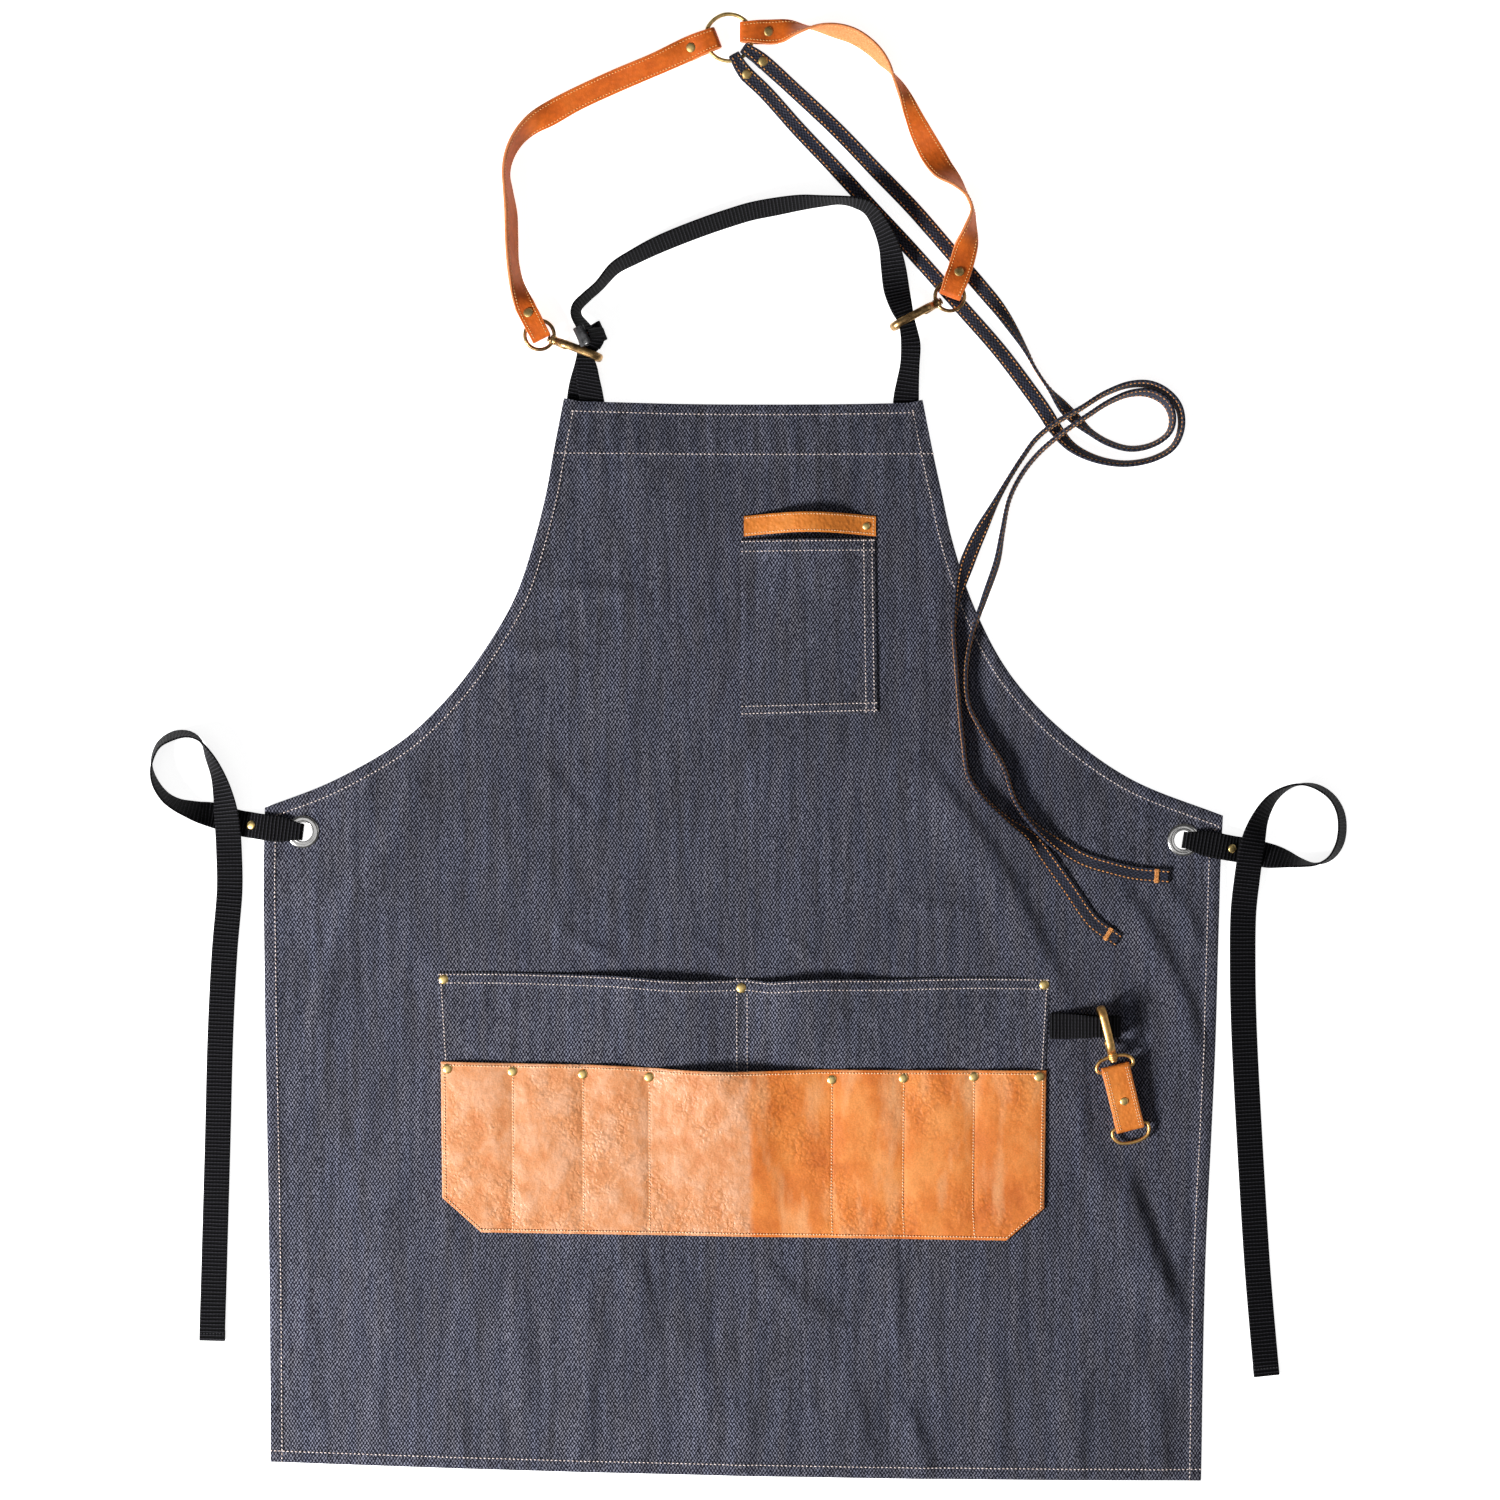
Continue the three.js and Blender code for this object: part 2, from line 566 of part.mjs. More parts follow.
const END_HEM = { gap: PLAY, hold: 1, pinch: 2, tail: 9 };

for (const [side, rows] of [["left", LEFT_TIE], ["right", RIGHT_TIE]]) {
  const run = lay(rows, WEBBING_WIDTH, WEBBING, 1);
  const spot = stationAt(run, 35);
  const seat = spot.point.clone().addScaledVector(spot.normal, WEBBING / 2 + STRAP_SEAT);
  const body = strap(foldEnd(foldStart(run, WEBBING, TIE_FOLD), WEBBING, END_HEM), WEBBING);
  add(`${side}_tie`, "webbing", cut(body, [rivetHole(seat, spot.normal, 5)]));
  rivet(`${side}_tie_rivet`, "brass", seat, spot.normal, 3.3, 3.7);
}

// Yoke ring
const RING = at(-14, 525, RING_HEIGHT);
const ringBody = new THREE.TorusGeometry(RING_RADIUS, RING_WIRE, 6, 20);
add("o_ring", "brass", closed(ringBody)).position.copy(RING);

// Leather yoke straps, folded round the ring at one end and round a hook's swivel ring at the other
const LEFT_LEATHER = table(STRAP_COLUMNS, [
  [-25.5, 524, 0, 6, 16], [-34, 520.7, 0, 6, 17], [-42, 517.5, 0, 3.4], [-67, 508, -4, 0.2], [-99, 494, -8, 0], [-128, 480, -10, 0],
  [-146, 469, -20, 0], [-159, 461, -44, 0], [-169, 451, -62, 0], [-176, 438, -73, 0], [-178.5, 425, -78, 0],
  [-177, 411, -73, 0], [-175, 395, -65, 0], [-174.5, 378, -64, 0], [-173.5, 358, -66, 0], [-171, 344, -54, 1],
  [-167, 332, -28, 4.5], [-163, 323, 0, 8.4], [-159.4, 316, 0, 10.7], [-154.8, 307.2, 0, 10.7, 16.5],
]);
const RIGHT_LEATHER = table(STRAP_COLUMNS, [
  [-2.4, 529, 0, 6, 15], [6.6, 529, 0, 6, 17], [15, 529.2, 0, 3.4], [24, 529.8, 8, 2], [37, 531, 56, 0.4], [50, 532, 90, 0], [66, 531, 114, 0],
  [81, 527, 118, 0], [96, 517.5, 113, 0], [104, 507, 102, 0], [110, 498, 84, 0], [117, 486, 60, 0],
  [123.5, 472, 44, 0], [130, 457, 40, 0], [138, 442, 43, 0], [146, 428, 52, 0], [154, 417.5, 72, 0],
  [162, 407, 84, 0], [166, 396, 82, 0.5], [164, 382, 54, 3], [160.5, 368, 14, 5.5], [156.5, 353.5, 0, 8.4],
  [153.8, 346, 0, 10.7], [150, 336, 0, 10.7, 16.5],
]);
const RING_FOLD = { gap: 2 * RING_WIRE + 0.6, hold: 8.5, pinch: 15, tail: 25 };
const HOOK_FOLD = { gap: 2 * SWIVEL_WIRE + 0.7, hold: 10.5, pinch: 16, tail: 26 };
const STRAP_RIVET = 17.5;

for (const [side, rows] of [["left", LEFT_LEATHER], ["right", RIGHT_LEATHER]]) {
  const run = lay(rows, STRAP_LEATHER_WIDTH, STRAP_LEATHER, 1);
  const spots = { ring: stationAt(run, STRAP_RIVET), hook: stationAt(turned(run), STRAP_RIVET) };
  const folded = foldEnd(foldStart(run, STRAP_LEATHER, RING_FOLD), STRAP_LEATHER, HOOK_FOLD);
  const seats = Object.entries(spots).map(([end, spot]) => {
    const seat = spot.point.clone().addScaledVector(spot.normal, STRAP_LEATHER / 2 + STRAP_SEAT);
    rivet(`${side}_leather_${end}_rivet`, "brass", seat, spot.normal, CAP, 4.9);
    return rivetHole(seat, spot.normal, 6);
  });
  add(`${side}_leather_strap`, "leather", cut(strap(folded, STRAP_LEATHER), seats));
}

// Denim yoke straps, folded round the ring and lying loose over the bib's right side
const LEFT_DENIM = table(STRAP_COLUMNS, [
  [-9, 509.8, 0, 6, 8.4], [-6, 504.6, 0, 6, 9.5], [-1, 498, 0, 3.2], [12, 486, 0, 0.2], [38, 457, 0, 0], [65.5, 428, 0, 0],
  [92, 399, 0, 0], [120, 369, 0, 0], [158, 326, 0, 0], [186, 294, 0, 0], [208, 265, 0, 0], [220, 248, 0, 0],
  [228, 235, -24, 0], [239, 222.5, -46, 0], [257, 213.5, -60, 0], [279, 210, -68, 0], [301, 213.5, -72, 0],
  [315, 222.5, -74, 0], [321.5, 237, -74, 0], [320, 253, -72, 0], [312, 264, -70, 0], [298, 271, -70, 0],
  [282, 271.5, -74, 1], [262, 264, -78, 6], [243, 252, -80, 10], [224, 240, -80, 8.5], [211, 229, -80, 2.5],
  [201, 215, -80, 0], [189, 196, -78, 0], [179, 177, -64, 0], [169, 154, -24, 0.8], [161, 134, -14, 2.6],
  [154, 108, -58, 2.6], [152, 86, -80, 2.6], [154, 58, -84, 2.2], [156.5, 26, -84, 1.8], [159, 3, -84, 1.8],
  [163, -21, -80, 1.8], [173, -36, -74, 1.8], [191, -53, -64, 1.8], [209, -66, -36, 1.8], [219, -79, -6, 1.9],
  [237, -104, 0, 1.5], [255, -129, 0, 1.5], [273, -142, 0, 1.5],
]);
const RIGHT_DENIM = table(STRAP_COLUMNS, [
  [-0.8, 515.8, 0, 6, 8.4], [4.2, 512.5, 0, 6, 9.5], [11, 507.5, 0, 3.2], [34, 487, 0, 0.2], [66, 457, 0, 0], [94, 428, 0, 0],
  [123, 398, 0, 0], [149, 368, 0, 0], [174, 339, 0, 0], [186, 324, -24, 0], [196, 309, -50, 0],
  [205, 294, -72, 0], [213, 279, -84, 0], [223, 264.5, -76, 0], [234, 251, -36, 0], [242, 243, -36, 0],
  [252, 234, -62, 0], [266, 225.5, -66, 0], [283, 221, -70, 0], [300, 224.5, -75, 0], [311, 233, -76, 0],
  [315, 245, -72, 0], [310.5, 257, -66, 0], [298, 264.5, -64, 0], [283, 265, -72, 1], [266, 257.5, -78, 6],
  [250, 246.5, -80, 10], [230, 231, -80, 9.5], [216, 218, -80, 3], [204, 203, -80, 0], [194.5, 184, -80, 0],
  [188, 160, -76, 0], [184, 138, -68, 0], [174, 109, -66, 2.6], [165, 82, -80, 2.6], [161, 56, -84, 2.4],
  [163, 32, -84, 2], [173, 12, -82, 1.8], [188, -12, -80, 1.8], [198, -40, -80, 1.8], [211, -57, -62, 1.8],
  [230, -72, -26, 1.8], [248, -82.5, 0, 1.6], [267, -88.5, 0, 1.5], [286, -93, 0, 1.5], [310, -95, 0, 1.5],
]);
const BIB_SIDE = 150;
const onPanel = (x, y) => (y < BIB_SIDE ? panelLift(x, y) : 0);
const DENIM_FOLD = { gap: 2 * RING_WIRE + 0.6, hold: 5, pinch: 10.5, tail: 19 };

for (const [side, rows] of [["left", LEFT_DENIM], ["right", RIGHT_DENIM]]) {
  const run = lay(rows, STRAP_DENIM_WIDTH, STRAP_DENIM, 1, onPanel);
  const spot = stationAt(run, 14);
  const seat = spot.point.clone().addScaledVector(spot.normal, STRAP_DENIM / 2 + STRAP_SEAT);
  const body = strap(foldStart(run, STRAP_DENIM, DENIM_FOLD), STRAP_DENIM);
  add(`${side}_denim_strap`, "denim", cut(body, [rivetHole(seat, spot.normal, 5)]));
  rivet(`${side}_denim_rivet`, "brass", seat, spot.normal, CAP, 4.4);
}

// Neck strap, from behind the bib's right corner through the right hook, round, through the slider and
// the left hook, to behind the bib's left corner
const NECK = table(STRAP_COLUMNS, [
  [117, 238, 0, 0.1], [117, 258, 0, 0.1], [118, 269, -8, 2.4], [119.5, 283, -12, 6], [120, 297, -8, 9.8, 16],
  [118.6, 307, -2, 11.6, 13], [116.6, 315.5, 0, 11.9, 12.5], [113.6, 324, 0, 10, 16], [110, 338, 0, 3.5], [107.5, 354, -18, 2.6], [104.5, 369, -40, 2.6],
  [98, 385, -56, 2.6], [89, 398, -66, 2.6], [80, 404, -74, 2.4], [68, 407, -80, 1], [53, 407, -72, 0],
  [39, 406, -62, 0], [20, 402.5, -50, 0], [2, 398, -38, 0], [-13, 393, -26, 0], [-35, 384, -16, 0],
  [-65, 372, -36, 0], [-85, 362, -56, 0], [-98.5, 354, -66, 0], [-115, 343, -74, 0], [-124.5, 336, -74, 0.3],
  [-128.5, 330.5, -62, 1.4], [-127.6, 325, -40, 3.8], [-125.6, 319, -16, 6.6], [-123.8, 312, -16, 7],
  [-121.8, 303.5, -12, 8.2], [-120.6, 297.5, -5, 9.6, 15], [-119.8, 291.8, 0, 10.4, 12], [-120.4, 281, 0, 8.2, 16],
  [-122.5, 269, 0, 2.8],
  [-124.5, 258, 0, 0.1], [-126, 238, 0, 0.1],
]);
const neck = lay(NECK, WEBBING_WIDTH, WEBBING, 1);
add("neck_strap", "webbing", strap(neck, WEBBING));

// The slider sits on the neck strap: two outer bars under the strap, a middle bar over it and end rails
const SLIDER_STATION = NECK.length - 8;
const SLIDER_LENGTH = 13;
const SLIDER_PLAY = 0.7;
const SLIDER_BAR = 2.4;
const slideAt = neck[SLIDER_STATION];
const TAB_RISE = WEBBING + PLAY;
const BAR_RISE = TAB_RISE + WEBBING / 2 + SLIDER_PLAY + SLIDER_BAR / 2;
const outerDrop = WEBBING / 2 + SLIDER_PLAY + SLIDER_BAR / 2;
const railSpan = BAR_RISE + outerDrop + SLIDER_BAR;

function sliderBox(along, across, up, x, y, z) {
  const box = new THREE.BoxGeometry(along, across, up);
  box.translate(x, y, z);
  return box;
}
const barLength = WEBBING_WIDTH + 5;
const railPlace = WEBBING_WIDTH / 2 + 1.7;
const sliderBody = join([
  sliderBox(SLIDER_BAR, barLength, SLIDER_BAR, SLIDER_LENGTH / 2, 0, -outerDrop),
  sliderBox(SLIDER_BAR, barLength, SLIDER_BAR, -SLIDER_LENGTH / 2, 0, -outerDrop),
  sliderBox(SLIDER_BAR, barLength, SLIDER_BAR, 0, 0, BAR_RISE),
  ...[-1, 1].map((end) => sliderBox(SLIDER_LENGTH + SLIDER_BAR, SLIDER_BAR - 0.4, railSpan, 0, end * railPlace,
    (BAR_RISE - outerDrop) / 2)),
]);
const slider = add("neck_slider", "plastic", sliderBody);
slider.quaternion.setFromRotationMatrix(new THREE.Matrix4().makeBasis(slideAt.along, slideAt.side, slideAt.normal));
slider.position.copy(slideAt.point);

// The slider's tab runs on top of the neck strap from the slider to the bib, and fans out to the right there
const TAB_FAN = 11;
const tabRun = turned(neck.slice(SLIDER_STATION)).map((station, k, all) => {
  const out = 1 - ease(k / (all.length * 0.5));
  const point = station.point.clone().addScaledVector(station.normal, TAB_RISE);
  return { ...station, point: point.addScaledVector(station.side, -TAB_FAN * out) };
});
const TAB_FOLD = { gap: SLIDER_BAR + 2 * SLIDER_PLAY, hold: 3, pinch: 7, tail: 9, way: 1 };
add("slider_tab", "webbing", strap(foldEnd(tabRun, WEBBING, TAB_FOLD), WEBBING));

// Swivel snap hooks. In its own frame a hook points along +X from its collar, with its back bar at +Z
const HOOK_BASE = 2.8;
const HOOK_THROAT = 9.7;
const HOOK_BOW = 30.3;
const HOOK_OUTER = 8.6;
const HOOK_INNER = 5.4;
const NOSE_START = 27;
const COLLAR_HALF = 2.5;
const COLLAR_RADIUS = 3.4;
const SHANK_RADIUS = 1.7;
const GATE_PIVOT = new THREE.Vector2(11.5, -6.5);
const GATE_TIP = new THREE.Vector2(28.2, -3.9);
const GATE_HALF = 1.1;
const GATE_ROOT = 1.5;

function hookBody() {
  const outline = new THREE.Shape();
  outline.moveTo(HOOK_BASE, -3);
  outline.lineTo(HOOK_BASE, 3);
  outline.lineTo(8, HOOK_OUTER);
  outline.lineTo(HOOK_BOW, HOOK_OUTER);
  outline.absarc(HOOK_BOW, 0, HOOK_OUTER, Math.PI / 2, -Math.PI / 2, true);
  outline.lineTo(NOSE_START, -HOOK_OUTER);
  outline.lineTo(NOSE_START, -HOOK_INNER);
  outline.lineTo(HOOK_BOW, -HOOK_INNER);
  outline.absarc(HOOK_BOW, 0, HOOK_INNER, -Math.PI / 2, Math.PI / 2, false);
  outline.lineTo(HOOK_THROAT, HOOK_INNER);
  outline.lineTo(HOOK_THROAT, -HOOK_OUTER);
  outline.lineTo(7, -HOOK_OUTER);
  const plate = new THREE.ExtrudeGeometry(outline, { depth: HOOK_PLATE, bevelEnabled: false, curveSegments: 10 });
  plate.translate(0, 0, -HOOK_PLATE / 2);
  plate.rotateX(Math.PI / 2);
  const ahead = at(1, 0);
  const shank = cylinderAlong(ahead, SHANK_RADIUS, -COLLAR_HALF - 1, HOOK_BASE + 1, 10);
  const head = cylinderAlong(ahead, SHANK_RADIUS + 1, -COLLAR_HALF - 1.6, -COLLAR_HALF - PLAY, 10);
  return join([plate, shank, head]);
}

function gateBody() {
  const along = GATE_TIP.clone().sub(GATE_PIVOT);
  const lean = along.angle();
  const outline = new THREE.Shape();
  outline.absarc(0, 0, GATE_ROOT, Math.PI * 0.62, Math.PI * 1.38, false);
  outline.lineTo(along.length(), -GATE_HALF);
  outline.lineTo(along.length(), GATE_HALF);
  const bar = new THREE.ExtrudeGeometry(outline, { depth: HOOK_PLATE - 1, bevelEnabled: false, curveSegments: 6 });
  bar.translate(0, 0, -(HOOK_PLATE - 1) / 2);
  bar.rotateZ(lean);
  bar.translate(GATE_PIVOT.x, GATE_PIVOT.y, 0);
  bar.rotateX(Math.PI / 2);
  return closed(bar);
}

function collared(ring) {
  const collar = cylinderAlong(at(1, 0), COLLAR_RADIUS, -COLLAR_HALF, COLLAR_HALF, 12);
  const bore = cylinderAlong(at(1, 0), SHANK_RADIUS + PLAY, -COLLAR_HALF - 1, COLLAR_HALF + 1, 10);
  return shapeOf(solid(ring).add(solid(collar)).subtract(solid(bore)));
}

function snapHook(name, ring, group) {
  add(`${name}_hook_ring`, "brass", collared(ring), group);
  add(`${name}_hook`, "brass", hookBody(), group);
  add(`${name}_hook_gate`, "brass", gateBody(), group);
}

const NECK_HOOKS = table(["name", "ringX", "ringY", "heading"], [
  ["left", -153.8, 304.8, -21], ["right", 148.9, 333.3, 208.5],
]);
for (const { name, ringX, ringY, heading } of NECK_HOOKS) {
  const group = new THREE.Group();
  group.position.set(ringX, ringY, HOOK_AXIS_HEIGHT);
  group.rotation.z = radians(heading);
  const inner = new THREE.Group();
  inner.position.x = SWIVEL_RADIUS;
  group.add(inner);
  const ring = new THREE.TorusGeometry(SWIVEL_RADIUS, SWIVEL_WIRE, 6, 16);
  ring.translate(-SWIVEL_RADIUS, 0, 0);
  snapHook(name, ring, inner);
  apron.add(group);
}

// Tool keeper: a webbing loop on the lower pocket's side seam, a snap hook through it, and a leather tab
// between the hook's ring and a D-ring
const KEEPER_WEBBING = table(STRAP_COLUMNS, [
  [223, -205.5, 0, 3.0], [235, -205.5, 0, 6], [248, -205.5, 0, 13.5, 17], [257, -205.5, 0, 15.7, 15.5],
  [267.4, -205.5, 0, 15.7, 15.5],
]);
const KEEPER_FOLD = { gap: 13, hold: 10, pinch: 44, tail: 44.5 };
const keeperRun = lay(KEEPER_WEBBING, WEBBING_WIDTH, WEBBING, 3);
const keeperLoop = foldEnd(keeperRun, WEBBING, KEEPER_FOLD);
const keeperFloor = DENIM + PLAY + WEBBING / 2;
keeperLoop.forEach((station, k) => {
  if (k > keeperRun.length + 4) station.point.z = keeperFloor;
});
add("keeper_webbing", "webbing", strap(keeperLoop, WEBBING));

const KEEPER_HEADING = 104;
const KEEPER_PITCH = 5.5;
const keeper = new THREE.Group();
keeper.position.set(269, -227.5, 10.7);
keeper.rotation.z = radians(KEEPER_HEADING);
const keeperDrop = new THREE.Group();
keeperDrop.rotation.y = -radians(KEEPER_PITCH);
keeper.add(keeperDrop);
apron.add(keeper);

// A D of round wire: its straight bar lies across at x = bar, and its bow reaches x = bow
function dRing(bar, bow, halfWidth, wire, sides) {
  const way = Math.sign(bow - bar);
  const deep = Math.abs(bow - bar);
  const path = new THREE.CatmullRomCurve3([
    at(bar, -halfWidth * 0.8), at(bar, 0), at(bar, halfWidth * 0.8), at(bar + way * 0.12 * deep, halfWidth * 0.98),
    at(bar + way * 0.45 * deep, halfWidth), at(bar + way * 0.84 * deep, halfWidth * 0.66), at(bow, 0),
    at(bar + way * 0.84 * deep, -halfWidth * 0.66), at(bar + way * 0.45 * deep, -halfWidth),
    at(bar + way * 0.12 * deep, -halfWidth * 0.98),
  ], true);
  return new THREE.TubeGeometry(path, sides, wire, 6, true);
}

const KEEPER_BAR = -10;
const TAB_END = -53.5;
const TAB_WIDTH = 21;
const TAB_LEATHER = 1.8;
const D_HALF = 13.6;
const D_REACH = 12.5;
snapHook("keeper", dRing(KEEPER_BAR, 0, D_HALF, KEEPER_WIRE, 24), keeperDrop);

const tabGap = 2 * KEEPER_WIRE + 0.6;
const tabBase = tabGap / 2;
const tabRows = spaced(KEEPER_BAR, TAB_END, 8).map((x) => ({ x, y: 0, roll: 0, base: tabBase }));
const tabStations = lay(tabRows, TAB_WIDTH, TAB_LEATHER, 1);
const UPPER_TAIL = { gap: tabGap, hold: 4, pinch: 10, tail: 31 };
const LOWER_TAIL = { gap: tabGap, hold: 4, pinch: 9, tail: 11.5 };
const tabLoop = foldEnd(foldStart(tabStations, TAB_LEATHER, UPPER_TAIL), TAB_LEATHER, LOWER_TAIL);
const tabSeat = at(-34, 0, tabBase + TAB_LEATHER + RIVET_SEAT);
add("keeper_tab", "leather", cut(strap(tabLoop, TAB_LEATHER), [rivetHole(tabSeat, UP, 6)]), keeperDrop);
keeperDrop.add(rivet("keeper_tab_rivet", "brass", tabSeat, UP, 3.2, 4));
add("tool_ring", "brass", closed(dRing(TAB_END, TAB_END - D_REACH, D_HALF, KEEPER_WIRE, 24)), keeperDrop);

apron.position.set(LAY_SHIFT_X, LAY_SHIFT_Y, 0);
export default apron;
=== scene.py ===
import math

import bpy
import numpy as np
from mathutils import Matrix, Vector


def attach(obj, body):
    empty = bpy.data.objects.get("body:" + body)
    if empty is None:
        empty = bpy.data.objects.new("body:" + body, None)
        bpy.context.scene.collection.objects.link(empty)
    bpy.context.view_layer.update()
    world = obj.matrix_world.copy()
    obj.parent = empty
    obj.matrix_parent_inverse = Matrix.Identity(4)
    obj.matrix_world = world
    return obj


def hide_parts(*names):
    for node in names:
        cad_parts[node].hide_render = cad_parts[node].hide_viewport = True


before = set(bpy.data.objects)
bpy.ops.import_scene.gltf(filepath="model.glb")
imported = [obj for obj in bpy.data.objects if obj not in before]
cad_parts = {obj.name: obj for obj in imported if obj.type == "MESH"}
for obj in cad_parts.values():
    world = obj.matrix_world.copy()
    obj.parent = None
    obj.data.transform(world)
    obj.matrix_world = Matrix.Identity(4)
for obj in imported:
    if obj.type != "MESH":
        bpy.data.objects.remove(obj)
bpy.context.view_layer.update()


# Apron panel: one cut of dark blue-grey denim with pale weft specks, lying front side up in soft folds.
# Its edges are turned under and sewn down, the bib's top has a deep facing behind it, and the waist
# corners are punched for the grommets.
MM = 0.001
LAY_SHIFT = np.array([-0.57, -0.9, 0.0])
DENIM = 1.0
HEM = 2.0
HEM_WIDTH = 9.0
HEM_STEP = 1.5
BIB_TOP = 257.0
FACING = 42.0
FACING_SEAM = 39.0
TOP_SEAM = 8.0
LEFT_CORNER_LIFT = 3.6
LEFT_CORNER_SPAN = (-102, -45)
RIGHT_CORNER_LIFT = 1.9
RIGHT_CORNER_SPAN = (-103, -55)
BIB_SAG = 1.9
BIB_SAG_REACH = 60.0
HEM_SAG = 3.5
GROMMET_LIFT = 2.9
GROMMET_PLACES = {"left": (-329.0, -62.0), "right": (322.0, -68.0)}
PANEL_HOLE = 9.2
KEEPER_REST = (276, -250)
KEEPER_REST_SIZE = (26, 56)

# Edge points of the panel: left x, left y, right x, right y, from the bib's top down
ARMHOLE = np.array([
    [-136, 258.5, 129, 257.4],
    [-144, 217, 137, 217],
    [-149, 190, 143, 190],
    [-158, 154, 151, 154],
    [-173, 110, 165, 110],
    [-200, 65, 187, 65],
    [-223, 36, 209, 36],
    [-255, 6, 241, 6],
    [-306, -24, 285, -24],
    [-357, -44, 351, -50],
], float)
SKIRT = np.array([
    [-357, -44, 351, -50],
    [-358, -90, 349, -93],
    [-357, -209, 346, -212],
    [-354, -386, 338, -390],
    [-353, -519, 335.3, -533],
    [-353, -528, 335, -542],
], float)

# Soft folds: the points each runs through, its height, and how wide its slopes are on its left and on its
# right as one looks along it
FOLDS = [
    ([(104, 26), (149, -38), (186, -90), (220, -157), (250, -222)], 3.4, 12, 34),
    ([(242, -196), (264, -262), (283, -334), (309, -401), (330, -446)], 6.0, 13, 36),
    ([(262, -84), (288, -124), (312, -166), (330, -214), (336, -262)], 3.6, 12, 22),
    ([(300, -84), (322, -118), (338, -160)], 2.0, 9, 14),
    ([(-233, 8), (-254, -46), (-283, -92), (-306, -144), (-322, -212), (-328, -262)], 3.6, 26, 11),
    ([(-286, -56), (-312, -86), (-340, -122)], 2.2, 18, 9),
    ([(-165, 116), (-120, 118), (-70, 112)], 2.2, 10, 14),
    ([(-182, 70), (-150, 72), (-112, 66)], 2.2, 10, 13),
    ([(-160, -4), (-138, -30), (-112, -60)], 1.8, 9, 20),
    ([(-206, -57), (-100, -59), (10, -60)], 0.8, 5, 8),
    ([(4, 18), (5, -60), (4, -160)], 0.9, 5, 8),
    ([(-150, -128), (-118, -146), (-84, -160)], 1.6, 8, 12),
    ([(-40, -140), (-14, -158)], 1.3, 7, 10),
    ([(28, -136), (52, -160)], 1.3, 7, 10),
    ([(96, -104), (140, -118), (176, -116)], 1.2, 8, 14),
    ([(-168, -378), (-165, -440), (-168, -512)], 2.0, 9, 20),
    ([(-126, -378), (-114, -440), (-120, -512), (-118, -540)], 1.7, 9, 18),
    ([(-84, -366), (-74, -410), (-72, -450)], 2.6, 8, 20),
    ([(-40, -420), (-30, -480), (-44, -536)], 1.6, 10, 20),
    ([(4, -372), (30, -402), (92, -436)], 2.0, 10, 22),
    ([(0, -470), (-3, -520), (-4, -545)], 1.7, 8, 18),
    ([(66, -446), (84, -496), (90, -540)], 1.9, 9, 20),
    ([(108, -364), (110, -410), (112, -456)], 2.4, 8, 20),
    ([(108, -470), (128, -516), (134, -545)], 2.4, 9, 20),
    ([(186, -440), (187, -500), (182, -545)], 2.0, 9, 22),
    ([(246, -462), (244, -506), (242, -545)], 2.6, 9, 22),
    ([(306, -462), (305, -508), (306, -545)], 2.6, 9, 22),
    ([(-262, -300), (-268, -420), (-262, -530)], 1.3, 16, 26),
    ([(-210, -410), (-214, -480), (-212, -540)], 1.2, 12, 20),
    ([(-318, -330), (-326, -440), (-322, -535)], 1.4, 14, 22),
    ([(150, 150), (142, 96), (122, 60)], 1.6, 14, 20),
]


def ease(f):
    f = np.clip(f, 0.0, 1.0)
    return f * f * (3 - 2 * f)


def fade(distance, full, none):
    return 1 - ease((np.asarray(distance, float) - full) / (none - full))


def spline(knots, where, values=None):
    """A centripetal curve through the knots, read at row numbers. Values ride on the same knots."""
    knots = np.asarray(knots, float)
    values = knots if values is None else np.asarray(values, float)
    where = np.asarray(where, float)

    def grown(rows):
        return np.vstack([2 * rows[0] - rows[1], rows, 2 * rows[-1] - rows[-2]])

    span = np.clip(where.astype(int), 0, len(knots) - 2)
    share = (where - span)[:, None]
    read = grown(values)
    steps = np.linalg.norm(np.diff(grown(knots), axis=0), axis=1) ** 0.5
    before, here, after = (np.maximum(steps[span + k], 1e-4)[:, None] for k in range(3))
    v0, v1, v2, v3 = (read[span + k] for k in range(4))
    slope_in = ((v1 - v0) / before - (v2 - v0) / (before + here) + (v2 - v1) / here) * here
    slope_out = ((v2 - v1) / here - (v3 - v1) / (here + after) + (v3 - v2) / after) * here
    square = -3 * v1 + 3 * v2 - 2 * slope_in - slope_out
    cube = 2 * v1 - 2 * v2 + slope_in + slope_out
    return v1 + slope_in * share + square * share**2 + cube * share**3


def unit(vectors):
    return vectors / np.maximum(np.linalg.norm(vectors, axis=-1, keepdims=True), 1e-9)


def edge_rows(rows, where):
    """Left points, left inward ways, right points and right inward ways at row numbers of an edge table."""
    sides = []
    for columns, turn in ((slice(0, 2), 1), (slice(2, 4), -1)):
        ahead = spline(rows[:, columns], np.minimum(where + 0.01, len(rows) - 1))
        behind = spline(rows[:, columns], np.maximum(where - 0.01, 0))
        run = unit(ahead - behind)
        sides += [spline(rows[:, columns], where), turn * np.stack([-run[:, 1], run[:, 0]], axis=1)]
    return sides


def ripple(x, y, size, seed=0.0):
    """An uneven wave between about -1 and 1 whose bumps are roughly size across."""
    total = 0.0
    for k, stretch in enumerate((1.0, 0.83, 1.21, 0.67, 1.37, 0.91)):
        turn = 2.4 * k + 0.7 + seed
        run = (x * math.cos(turn) + y * math.sin(turn)) * 6.283 / (size * stretch)
        total = total + np.sin(run + 1.7 * k * k + seed)
    return total / 3


